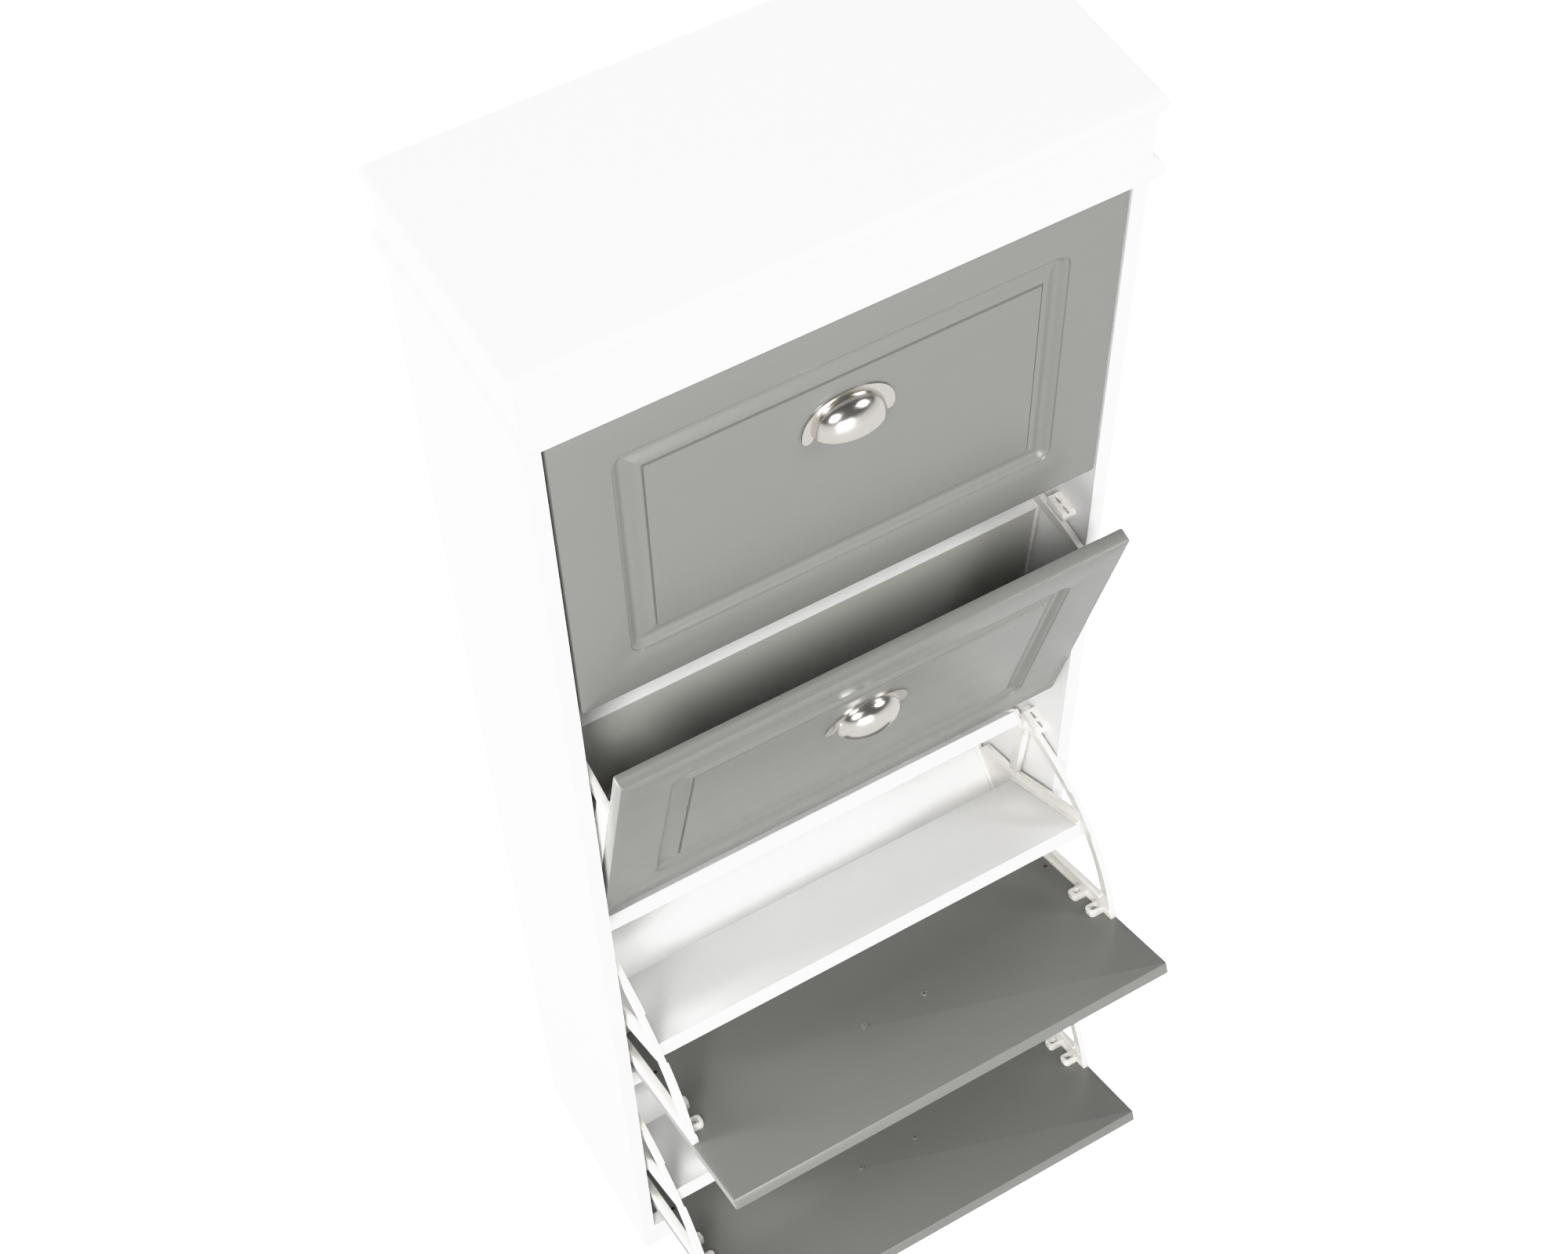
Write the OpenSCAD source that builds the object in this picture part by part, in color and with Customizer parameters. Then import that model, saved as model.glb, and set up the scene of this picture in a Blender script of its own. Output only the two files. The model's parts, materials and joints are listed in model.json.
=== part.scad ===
// Tall shoe cabinet with four tilting flaps. Millimetres, +Z up, the front faces -Y.
// Origin: floor level, at the middle of the plinth rail's underside.
// Each flap is a front panel on two plastic swing frames, which turn on pins in the
// side panels. A flap's own frame is "u behind the front's face, v above its lower edge".

/* [Body] */
// Outside width of the body
body_w = 600; // [480:5:760]
// Outside depth of the body, back panel included
body_d = 266; // [222:1:340]
// Thickness of the carcass boards
board_t = 16; // [14:0.5:20]
// Thickness of the back panels
back_t = 3; // [2.5:0.5:5]
// Height of the plinth rail's upper edge above the floor
plinth_h = 54; // [45:1:100]
// Height of the bottom panel's underside above the floor
bottom_z = 9; // [6:0.5:14]
// Height of the rear stretcher rails
rail_h = 60; // [40:2:80]

/* [Crown] */
// Height of the frieze between the moulding board and the top panel
frieze_h = 53; // [30:1:90]
// How far the moulding board stands out at the front
mould_front = 11; // [9:0.5:20]
// How far the moulding board stands out at each side
mould_side = 8.5; // [8:0.5:20]
// How far the top panel stands out at the front and sides
top_out = 7; // [4:0.5:20]
// Height of the square lower part of the moulding board's edge
mould_square = 5; // [2:0.5:8]
// Depth of the step above the moulding board's rounding
mould_step = 1.2; // [0.5:0.1:3]

/* [Fronts] */
// Height of each front
front_h = 383.5; // [320:0.5:470]
// Thickness of each front
front_t = 16; // [14:0.5:20]
// Gap between one front and the next
front_gap = 14; // [12:0.5:20]
// Gap between the lowest front and the plinth rail
foot_gap = 18; // [15:0.5:30]
// Gap between the highest front and the moulding board
head_gap = 13; // [8:0.5:20]
// Gap between a front's end and the side panel
side_gap = 3; // [2:0.25:5]
// Distance from the front's edge to the routed frame
panel_inset = 60; // [45:1:80]
// Width of the routed frame
panel_band = 22; // [14:1:30]
// Depth of the routed frame
panel_depth = 3.5; // [2:0.25:5]

/* [Motion] */
// Full opening angle of a flap
open_angle = 67; // [55:0.5:68]
// Opening of the second flap, which stands ajar
ajar_angle = 13.6; // [0:0.1:40]
// Pivot's distance behind the face of the front
pivot_u = 52; // [46:0.5:60]
// Pivot's height above the front's lower edge
pivot_v = 80; // [76:0.5:100]
// Radius of a pivot pin
pin_r = 4; // [3:0.25:5]
// Radial running clearance of a pivot pin
pin_clear = 0.08; // [0.02:0.01:0.1]

/* [Swing frame] */
// Thickness of the frame's web
web_t = 4; // [3:0.25:5]
// Width of the frame's ribs, web included
rib_w = 8; // [7:0.5:15]
// Width of the rim's edge, web included
rim_edge_w = 6.5; // [5:0.5:10]
// Thickness of a rib
rib_t = 2.5; // [2:0.25:4]
// Radial width of the rim
rim_w = 20; // [14:1:26]
// How far the stop nose stands out beyond the rim
nose_h = 21; // [18:0.5:28]
// Clearance between the stop nose and the back panel
rear_clear = 4; // [2:0.5:12]
// Clearance between a shelf and its channel
channel_clear = 0.3; // [0.1:0.05:0.6]
// Thickness of the inner shelves
shelf_t = 16; // [12:0.5:18]
// Width of the gusset bars that join the channels
bar_w = 16; // [12:1:22]

/* [Stop block] */
// Length of the stop block, front to back
stop_l = 30; // [24:0.5:35]
// Height of the stop block
stop_h = 12; // [10:0.5:20]
// How far the stop block stands out from the side panel
stop_w = 15; // [13:0.5:22]
// Clearance around the stop block where a flap passes it
stop_clear = 0.4; // [0.3:0.05:1]

/* [Handle] */
// Spacing of the handle's two screws
handle_cc = 80; // [64:1:96]
// Height of the handle's screws above the front's lower edge
handle_v = 245; // [200:1:300]
// Width of the cup at its mouth
cup_w = 76; // [60:1:90]
// How far the cup stands out from the front
cup_out = 23; // [18:0.5:30]
// Height of the cup
cup_h = 34; // [26:0.5:44]
// Wall thickness of the cup
cup_t = 2; // [1.5:0.25:3]
// Width of the brow around the cup
brow_w = 7; // [4:0.5:10]

/* [Hidden] */
FLAPS = [1, 2, 3, 4];
FLAP_NODES = ["front", "handle", "handle_screws", "swing_frame_left", "swing_frame_right",
    "middle_shelf", "rear_shelf", "toe_shelf", "frame_screws"];
$fn = 64;

// Slack that keeps two pieces from sharing a surface
tiny = 0.05;
// Over-reach of a cut past the face that it opens
past = 1;

front_y = -board_t / 2;
back_y = front_y + body_d;
mid_y = (front_y + back_y) / 2;
panel_back_y = back_y - back_t;
inner_x = body_w / 2 - board_t;
front_pitch = front_h + front_gap;
body_top = plinth_h + foot_gap + 4 * front_h + 3 * front_gap + head_gap;
frieze_z = body_top + board_t;
top_z = frieze_z + frieze_h;

// Rest angle of each flap: closed, ajar, open, open
function rest_angle(i) = i == 1 ? 0 : i == 2 ? ajar_angle : open_angle;
// Height of a flap's lower edge when it is closed
function front_z(i) = plinth_h + foot_gap + (4 - i) * front_pitch;
function pivot_z(i) = front_z(i) + pivot_v;
pivot_y = front_y + pivot_u;

front_half = inner_x - side_gap;
web_in = front_half - web_t;
rib_in = front_half - rib_w;

// Reach of the stop nose, from the depth that is left behind the pivot
nose_back = 7;
nose_r = (panel_back_y - rear_clear - pivot_y - nose_back * cos(open_angle)) / sin(open_angle);
rim_r = nose_r - nose_h;
rim_in = rim_r - rim_w;
rim_end = open_angle + 4;
stop_low = nose_r - 8;

// Outline points of the swing frame, from the pivot: [u, v]
leg_u = front_t - pivot_u + tiny;
leg_w = 22;
leg_low = -pivot_v + 22;
leg_high = sqrt(rim_r * rim_r - leg_u * leg_u);
rim_start = -asin(-leg_u / rim_r);
// Angles between which the rim's edge is narrower, and by how much
notch_from = 22;
notch_to = 39;
notch_w = 1.5;

// Unit vectors along and across a shelf that leans back by an angle from the vertical
function along(a) = [sin(a), cos(a)];
function across(a) = [cos(a), -sin(a)];

// Middle shelf: the corner of its rear face at the rim, its lean and its length
mid_lean = 9.5;
mid_angle = 27;
mid_top = (rim_in - 1) * along(mid_angle);
mid_len = rim_in * 0.85;
mid_rear = mid_top - mid_len * along(mid_lean);

// Toe shelf: falls from the front towards the back
toe_lean = 113.5;
toe_start = [leg_u + 0.5, leg_low + (shelf_t + rib_t + channel_clear) / sin(toe_lean)];
toe_len = 136;
toe_end = toe_start + toe_len * along(toe_lean);

// Rear shelf: stands on the toe shelf's rear end and leans back
rear_foot = 18;
rear_high = (rim_in - 7) * along(rim_end + 1);
rear_vec = rear_high - toe_end;
rear_lean = atan2(rear_vec[0], rear_vec[1]);
rear_len = norm(rear_vec) + rear_foot;
rear_low = toe_end - rear_foot * along(rear_lean) + channel_clear * across(rear_lean);

// The toe shelf stops short of the rear shelf's face, which leans a little towards it
toe_trim = max(0, shelf_t * tan(rear_lean + 90 - toe_lean)) + channel_clear;

node_n = mid_rear + [8, 2];

// Screw places on a front's inner face, from its lower edge: one tab below the pivot, two that
// hang from the leg's upper end
tab_v = [pivot_v - 18, pivot_v + leg_high - 57, pivot_v + leg_high - 20];
tab_len = 20;
tab_h = 15;
tab_t = 8;
tab_chamfer = 3;
tab_seat_w = 9;
tab_seat_h = 8;
tab_hole_r = 2.1;
tab_x = web_in - 11;
spare_hole_v = 150;

// ---------------------------------------------------------------- plain helpers

// A rectangle from point a to point b, with w wide to its right and left
module bar(a, b, w) {
    d = (b - a) / norm(b - a);
    n = [d[1], -d[0]] * w / 2;
    polygon([a + n, b + n, b - n, a - n]);
}

// A bar with its left edge on the line from a, leaning by an angle, and its width to the right
module strip(a, lean, len, w) {
    polygon([a, a + len * along(lean), a + len * along(lean) + w * across(lean),
        a + w * across(lean)]);
}

// Sector between two angles from the vertical, out to a radius
module sector(r, a0, a1) {
    mid = (a0 + a1) / 2;
    far = 1.2 * r;
    intersection() {
        circle(r, $fn = 180);
        polygon([[0, 0], far * along(a0), 1.4 * far * along((a0 + mid) / 2), 1.4 * far * along(mid),
            1.4 * far * along((a1 + mid) / 2), far * along(a1)]);
    }
}

module ring_sector(r0, r1, a0, a1) {
    difference() {
        sector(r1, a0, a1);
        circle(r0, $fn = 180);
    }
}

// Rounded rectangle from plain rectangles and circles, centred
module round_rect(w, h, r) {
    square([w - 2 * r, h], center = true);
    square([w, h - 2 * r], center = true);
    for (x = [-1, 1], y = [-1, 1])
        translate([x * (w / 2 - r), y * (h / 2 - r)]) circle(r);
}

// Box between two corners
module block(a, b) {
    translate(a) cube(b - a);
}

// Board with a round nose along its front and side edges
module nosed_board(half_w, y0, y1, z0, t) {
    r = t / 2;
    translate([0, 0, z0 + r]) {
        block([-half_w + r, y0 + r, -r], [half_w - r, y1, r]);
        translate([-half_w + r, y0 + r, 0]) rotate([0, 90, 0]) cylinder(h = 2 * (half_w - r), r = r);
        for (s = [-1, 1]) {
            translate([s * (half_w - r), y0 + r, 0]) sphere(r);
            translate([s * (half_w - r), y1, 0]) rotate([90, 0, 0]) cylinder(h = y1 - y0 - r, r = r);
        }
    }
}

// Places children in a flap's own frame: x across, y = u, z = v
module at_flap(i) {
    translate([0, pivot_y, pivot_z(i)]) rotate([rest_angle(i), 0, 0])
        translate([0, -pivot_u, -pivot_v]) children();
}

// Extrudes a [u, v] outline, drawn from the pivot, between two x values of a flap's frame
module plate(x0, x1) {
    translate([x0, pivot_u, pivot_v]) rotate([90, 0, 90]) linear_extrude(x1 - x0) children();
}

module mirror_if(flag) {
    if (flag) mirror([1, 0, 0]) children();
    else children();
}

// ---------------------------------------------------------------- knock-down fittings

bolt_r = 3;
cam_r = 7.5;
cam_h = 12.5;
cam_in = 33;
dowel_r = 4;
dowel_in = 20;
peg_in = 10;

// Fittings at one board end. The board runs towards +X from x = 0, with its middle at z = 0
// and its hidden face at z = -board_t / 2. The panel that it meets is on the -X side.
module cam_bolt(slack = 0) {
    translate([-peg_in - slack, 0, 0]) rotate([0, 90, 0])
        cylinder(h = peg_in + cam_in + 2 * slack, r = bolt_r + slack);
}

module cam_lock(slack = 0) {
    difference() {
        translate([cam_in, 0, -board_t / 2 - (slack > 0 ? past : 0)])
            cylinder(h = cam_h + slack + (slack > 0 ? past : 0), r = cam_r + slack);
        if (slack == 0) {
            translate([cam_in - cam_r - past, 0, 0]) rotate([0, 90, 0])
                cylinder(h = cam_r + past + 0.5, r = bolt_r + 0.5);
            translate([cam_in - 4, -0.6, -board_t / 2 - past]) cube([8, 1.2, 2 + past]);
            translate([cam_in - 0.6, -4, -board_t / 2 - past]) cube([1.2, 8, 2 + past]);
        }
    }
}

module dowel(slack = 0) {
    translate([-peg_in - slack, 0, 0]) rotate([0, 90, 0])
        cylinder(h = peg_in + dowel_in + 2 * slack, r = dowel_r + slack);
}

// Places of the fittings at the left end of each cross board: [centre y, centre z, turn about X]
// for the cam, then [y, z] for the dowel
bottom_mid = bottom_z + board_t / 2;
rail_cam_z = plinth_h * 0.7;
rail_dowel_z = plinth_h * 0.3;
stretcher_y = panel_back_y - board_t / 2;
stretcher_upper_z = pivot_z(1) + rim_r + 12;
stretcher_middle_z = pivot_z(3) + rim_r + 12;
end_cams = [
    [front_y + 60, bottom_mid, 0], [panel_back_y - 50, bottom_mid, 0],
    [front_y + board_t / 2, rail_cam_z, 90],
    [stretcher_y, stretcher_upper_z + 42, -90], [stretcher_y, stretcher_middle_z + 42, -90]];
end_dowels = [
    [front_y + 100, bottom_mid], [panel_back_y - 90, bottom_mid],
    [front_y + board_t / 2, rail_dowel_z],
    [stretcher_y, stretcher_upper_z + 16], [stretcher_y, stretcher_middle_z + 16]];
// Places along a side panel's upper edge: y of the cams and of the dowels
top_cams = [front_y + 45, panel_back_y - 45];
top_dowels = [front_y + 90, panel_back_y - 90];
// Dowels that stand in the frieze boards, below and above them: [x, y]
frieze_dowels = [
    [-body_w / 2 + 90, front_y + board_t / 2], [body_w / 2 - 90, front_y + board_t / 2],
    [-inner_x - board_t / 2, mid_y], [inner_x + board_t / 2, mid_y]];

module at_ends(places) {
    for (s = [0, 1], p = places)
        mirror_if(s == 1) translate([-inner_x, p[0], p[1]]) rotate([len(p) > 2 ? p[2] : 0, 0, 0])
            children();
}

// The side panel's upper end: the fittings' own +X points down into the panel
module at_tops(ys) {
    for (s = [0, 1], y = ys)
        mirror_if(s == 1) translate([-inner_x - board_t / 2, y, body_top]) rotate([0, 90, 0])
            rotate([180, 0, 0]) children();
}

module at_frieze(z) {
    for (p = frieze_dowels) translate([p[0], p[1], z]) rotate([0, -90, 0]) children();
}

module fitting_holes() {
    at_ends(end_cams) {
        cam_bolt(tiny);
        cam_lock(tiny);
    }
    at_ends(end_dowels) dowel(tiny);
    at_tops(top_cams) {
        cam_bolt(tiny);
        cam_lock(tiny);
    }
    at_tops(top_dowels) dowel(tiny);
    at_frieze(frieze_z) dowel(tiny);
    at_frieze(top_z) mirror([1, 0, 0]) dowel(tiny);
}

module dowels() {
    color("burlywood") {
        at_ends(end_dowels) dowel();
        at_tops(top_dowels) dowel();
        at_frieze(frieze_z) dowel();
        at_frieze(top_z) mirror([1, 0, 0]) dowel();
    }
}

module cam_locks() {
    color("silver") {
        at_ends(end_cams) cam_lock();
        at_tops(top_cams) cam_lock();
    }
}

module cam_bolts() {
    color("silver") {
        at_ends(end_cams) cam_bolt();
        at_tops(top_cams) cam_bolt();
    }
}

// ---------------------------------------------------------------- pivots and stops

collar_r = 9;
pin_seat = 11;
peg_r = 2.5;
peg_len = 9;
stop_v = stop_low;
// A stop block ends just in front of the nose of the open flap
stop_len = min(stop_l, pivot_u - front_t - 2 * stop_clear);
stop_y0 = pivot_y - stop_clear - stop_len;

module at_pivots(side) {
    for (i = FLAPS) mirror_if(side < 0) translate([inner_x, pivot_y, pivot_z(i)]) children();
}

module pin_shape(slack = 0) {
    rotate([0, 90, 0]) translate([0, 0, -side_gap - rib_w + 2])
        cylinder(h = side_gap + rib_w - 2 + pin_seat + slack, r = pin_r + slack);
}

module pivot_pin() {
    pin_shape();
    rotate([0, -90, 0]) translate([0, 0, tiny]) cylinder(h = side_gap - 0.5, r = collar_r);
}

module pivot_pins_left() {
    color("silver") at_pivots(-1) pivot_pin();
}

module pivot_pins_right() {
    color("silver") at_pivots(1) pivot_pin();
}

// Stop block on the right side panel, from the pivot: its two pockets open upwards
module stop_pegs(slack = 0) {
    for (k = [0.25, 0.75])
        translate([inner_x - past, stop_y0 + k * stop_len, stop_v + stop_h / 2])
            rotate([0, 90, 0]) cylinder(h = past + peg_len + slack, r = peg_r + slack);
}

module stop_block() {
    wall = 2.5;
    floor_t = 4;
    pocket_w = 3.5;
    pocket_l = (stop_len - 3 * wall) / 2;
    lead = 4;
    difference() {
        translate([inner_x - stop_w, 0, 0])
            rotate([90, 0, 90]) linear_extrude(stop_w - tiny)
                polygon([[stop_y0 + lead, stop_v], [stop_y0 + stop_len, stop_v],
                    [stop_y0 + stop_len, stop_v + stop_h], [stop_y0 + lead, stop_v + stop_h],
                    [stop_y0, stop_v + stop_h - lead], [stop_y0, stop_v + lead]]);
        for (k = [0, 1])
            translate([inner_x - (stop_w + pocket_w) / 2, stop_y0 + wall + k * (pocket_l + wall),
                stop_v + floor_t])
                cube([pocket_w, pocket_l, stop_h]);
    }
    stop_pegs();
}

module at_stops() {
    for (i = FLAPS) translate([0, 0, pivot_z(i)]) children();
}

module stop_blocks() {
    color("ivory") at_stops() stop_block();
}

// ---------------------------------------------------------------- carcass

nail_r = 0.8;
nail_len = 14;
nail_step = 200;
joint_z = pivot_z(3) + rim_r + 12 + rail_h / 2;
side_nail_count = floor((body_top - 60) / nail_step);

// Places of the nails: along both side panels and across the rails and boards
nail_places = concat(
    [for (s = [-1, 1], k = [0 : side_nail_count]) [s * (inner_x + board_t / 2), 40 + k * nail_step]],
    [for (k = [-1 : 1], z = [bottom_mid, joint_z - 18, joint_z + 18, body_top + board_t / 2])
        [k * inner_x * 0.6, z]]);

module nail(slack = 0) {
    rotate([90, 0, 0]) {
        translate([0, 0, -tiny]) cylinder(h = nail_len + slack, r = nail_r + slack, $fn = 24);
        translate([0, 0, -0.8 - tiny]) cylinder(h = 0.8, r = 2.2, $fn = 24);
    }
}

module at_nails() {
    for (p = nail_places) translate([p[0], back_y, p[1]]) children();
}

module nail_holes() {
    at_nails() rotate([90, 0, 0]) translate([0, 0, -past])
        cylinder(h = nail_len + past + tiny, r = nail_r + tiny, $fn = 24);
}

module side_panel() {
    difference() {
        block([inner_x, front_y, 0], [body_w / 2, panel_back_y, body_top]);
        fitting_holes();
        nail_holes();
        at_pivots(1) pin_shape(tiny);
    }
}

module side_panel_left() {
    color("white") mirror([1, 0, 0]) side_panel();
}

// The stop blocks sit on the right panel only
module side_panel_right() {
    color("white") difference() {
        side_panel();
        at_stops() stop_pegs(tiny);
    }
}

module bottom_panel() {
    color("white") difference() {
        block([-inner_x, front_y + board_t, bottom_z], [inner_x, panel_back_y, bottom_z + board_t]);
        fitting_holes();
        nail_holes();
    }
}

module plinth_rail() {
    color("white") difference() {
        block([-inner_x, front_y, 0], [inner_x, front_y + board_t, plinth_h]);
        fitting_holes();
    }
}

module stretcher(z) {
    color("white") difference() {
        block([-inner_x, panel_back_y - board_t, z], [inner_x, panel_back_y, z + rail_h]);
        fitting_holes();
        nail_holes();
    }
}

module stretcher_upper() {
    stretcher(stretcher_upper_z);
}

module stretcher_middle() {
    stretcher(stretcher_middle_z);
}

// Moulded edge in section, from the edge inwards and up: square, rounding, step
module moulded_edge(depth) {
    r = board_t - mould_square - mould_step;
    square([depth, mould_square]);
    translate([r, mould_square]) circle(r);
    translate([r, mould_square]) square([depth - r, r]);
    translate([0.8 * r, mould_square]) square([depth - 0.8 * r, board_t - mould_square]);
}

module moulded_section(depth) {
    intersection() {
        moulded_edge(depth);
        square([depth, board_t]);
    }
}

// The moulding board closes the carcass. Its moulded edges meet in mitres
module moulding_board() {
    half_w = body_w / 2 + mould_side;
    length = panel_back_y - front_y + mould_front;
    color("white") difference() {
        translate([0, front_y - mould_front, body_top]) intersection() {
            translate([-half_w, 0, 0]) rotate([90, 0, 90]) linear_extrude(2 * half_w)
                moulded_section(length);
            translate([0, length, 0]) rotate([90, 0, 0]) linear_extrude(length) {
                translate([-half_w, 0]) moulded_section(half_w + 1);
                mirror([1, 0]) translate([-half_w, 0]) moulded_section(half_w + 1);
            }
        }
        fitting_holes();
        nail_holes();
    }
}

module frieze_front() {
    color("white") difference() {
        block([-body_w / 2, front_y, frieze_z], [body_w / 2, front_y + board_t, top_z]);
        fitting_holes();
    }
}

module frieze_side(s) {
    color("white") difference() {
        mirror_if(s < 0)
            block([inner_x, front_y + board_t, frieze_z], [body_w / 2, panel_back_y, top_z]);
        fitting_holes();
    }
}

module frieze_side_left() {
    frieze_side(-1);
}

module frieze_side_right() {
    frieze_side(1);
}

module top_panel() {
    color("white") difference() {
        nosed_board(body_w / 2 + top_out, front_y - top_out, back_y, top_z, board_t);
        fitting_holes();
    }
}

strip_lip = 6;
module back_panel(z0, z1) {
    color("whitesmoke") difference() {
        block([-body_w / 2 + 1, panel_back_y, z0], [body_w / 2 - 1, back_y, z1]);
        nail_holes();
    }
}

module back_panel_lower() {
    back_panel(bottom_z, joint_z - 1);
}

module back_panel_upper() {
    back_panel(joint_z + 1, top_z);
}

// H-section strip that joins the two back panels, proud of them on the outside
module back_joint_strip() {
    color("whitesmoke") {
        block([-inner_x, panel_back_y, joint_z - 1 + tiny], [inner_x, back_y, joint_z + 1 - tiny]);
        block([-inner_x, back_y, joint_z - strip_lip], [inner_x, back_y + 1.2, joint_z + strip_lip]);
    }
}

module back_nails() {
    color("silver") at_nails() nail();
}

// ---------------------------------------------------------------- flap: front and handle

screw_r = 2;
screw_head_r = 4;
screw_head_h = 2.2;
pilot_r = 1.6;
pilot_depth = 10;

module front(i) {
    pw = 2 * (front_half - panel_inset);
    ph = front_h - 2 * panel_inset;
    color("gray") at_flap(i) difference() {
        block([-front_half, 0, 0], [front_half, front_t, front_h]);
        // routed frame: a round-cornered outer groove, then a shallower inner band
        translate([0, panel_depth, front_h / 2]) rotate([90, 0, 0]) {
            linear_extrude(panel_depth + past) difference() {
                round_rect(pw, ph, panel_band * 0.8);
                square([pw - panel_band, ph - panel_band], center = true);
            }
            translate([0, 0, panel_depth / 2]) linear_extrude(panel_depth) difference() {
                square([pw - panel_band + tiny, ph - panel_band + tiny], center = true);
                square([pw - 2 * panel_band, ph - 2 * panel_band], center = true);
            }
        }
        // handle screws
        for (s = [-1, 1]) translate([s * handle_cc / 2, front_t + past, handle_v])
            rotate([90, 0, 0]) cylinder(h = front_t + 2 * past, r = screw_r + 0.25);
        // pilot holes for the swing frames, the spare one included
        for (s = [-1, 1], v = concat(tab_v, [spare_hole_v]))
            translate([s * tab_x, front_t + past, v]) rotate([90, 0, 0])
                cylinder(h = pilot_depth + past, r = pilot_r + (v == spare_hole_v ? 0.9 : tiny));
    }
}

// Circle whose chord across the front's face is cup_h high and whose depth is cup_out
cup_off = (cup_h * cup_h - cup_out * cup_out) / (2 * cup_out);
cup_r = cup_out + cup_off;
// Sweep radius of the cup along its width
cup_bow = (pow(cup_w / 2, 2) + cup_out * cup_out) / (2 * cup_out);

// Solid of revolution about a line across the front, thinned by a wall
module cup_body(wall) {
    rotate([0, 90, 0]) rotate_extrude($fn = 96) intersection() {
        translate([cup_r - cup_bow, 0]) circle(cup_bow - wall, $fn = 120);
        translate([0, -cup_w]) square([cup_r + past, 2 * cup_w]);
    }
}

module handle(i) {
    foot_r = 6.5;
    foot_h = 5;
    brow_t = 2.2;
    brow_half = cup_w / 2 + brow_w;
    brow_high = cup_h + brow_w;
    brow_r = (brow_half * brow_half + brow_high * brow_high) / (2 * brow_high);
    color("silver") at_flap(i) translate([0, 0, handle_v]) difference() {
        union() {
            // cup shell, open below
            intersection() {
                translate([0, cup_off, 0]) cup_body(0);
                block([-cup_w, -cup_out - past, 0], [cup_w, -tiny, cup_h + past]);
            }
            // brow that lies on the front
            intersection() {
                translate([0, -tiny, brow_high - brow_r]) rotate([90, 0, 0])
                    cylinder(h = brow_t, r = brow_r, $fn = 120);
                block([-cup_w, -cup_out, -1], [cup_w, past, 2 * cup_h]);
            }
            // feet around the screws
            for (s = [-1, 1]) translate([s * handle_cc / 2, -tiny, 0]) rotate([90, 0, 0])
                cylinder(h = foot_h, r = foot_r);
        }
        intersection() {
            translate([0, cup_off, 0]) cup_body(cup_t);
            block([-cup_w, -cup_out - past, -foot_r - past],
                [cup_w, past, cup_h + past]);
        }
        for (s = [-1, 1]) translate([s * handle_cc / 2, past, 0]) rotate([90, 0, 0])
            cylinder(h = foot_h - 1 + past, r = screw_r + tiny);
    }
}

// Pan-head screw: its head stands on y = 0 and its shank points towards -Y
module screw(shank_r, len, head_r, head_h) {
    rotate([90, 0, 0]) cylinder(h = len, r = shank_r);
    difference() {
        translate([0, head_h, 0]) rotate([90, 0, 0]) cylinder(h = head_h, r1 = head_r * 0.7, r2 = head_r);
        for (a = [0, 90]) rotate([0, a, 0])
            translate([-head_r * 0.5, head_h / 2, -0.45]) cube([head_r, head_h, 0.9]);
    }
}

module handle_screws(i) {
    color("silver") at_flap(i)
        for (s = [-1, 1]) translate([s * handle_cc / 2, front_t + tiny, handle_v])
            screw(screw_r, front_t + 3.5, screw_head_r, screw_head_h);
}

module frame_screws(i) {
    color("silver") at_flap(i)
        for (s = [-1, 1], v = [tab_v[0], tab_v[2]])
            translate([s * tab_x, front_t + tab_t / 2 + tiny, v])
                screw(pilot_r, tab_t / 2 + pilot_depth - past, 3.2, 2);
}

// ---------------------------------------------------------------- flap: swing frames

boss_r = 11;

// Flat web of a swing frame, drawn from the pivot
module web_outline() {
    ring_sector(rim_in, rim_r, rim_start, rim_end);
    // leg along the front
    polygon([[leg_u, leg_low], [leg_u + leg_w, leg_low - 8], [leg_u + leg_w, leg_high],
        [leg_u, leg_high]]);
    // boss around the pivot, joined to the leg
    circle(boss_r + 3);
    bar([leg_u + leg_w / 2, 0], [0, 0], 28);
    // gusset from the leg to the inner end of the middle shelf
    polygon([[leg_u, leg_low], [leg_u, leg_low + 40], [0, 12], node_n + [-4, 6],
        node_n + [8, -10], node_n + [10, -60], toe_start + 95 * along(toe_lean)]);
    // channel strips behind the three shelves
    strip(mid_top - (mid_len + 2) * along(mid_lean) - shelf_t * across(mid_lean), mid_lean,
        mid_len + 4, shelf_t + bar_w);
    strip(toe_start - [0.5, -4], toe_lean, toe_len + 10, shelf_t + 6);
    strip(rear_low - 4 * across(rear_lean), rear_lean, rear_len + 6, shelf_t + 4 + rib_t);
    // bar from the inner end of the middle shelf to the rim's rear end
    bar(node_n + [4, 0], (rim_in + 4) * along(rim_end - 1), bar_w);
}

// Outer limit of the web: the nose side of the rim and the leg side of the front
module web_limit() {
    intersection() {
        translate([leg_u, -pivot_v - 60]) square([rim_r - leg_u + 10, 2 * rim_r + pivot_v]);
        union() {
            circle(rim_r, $fn = 180);
            translate([leg_u, -2 * rim_r]) square([2 * rim_r, 2 * rim_r]);
        }
    }
}

// Edge of the rim between two angles
module rim_edge(a0, a1) {
    intersection() {
        ring_sector(rim_r - rib_t, rim_r, a0, a1);
        web_limit();
    }
}

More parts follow.
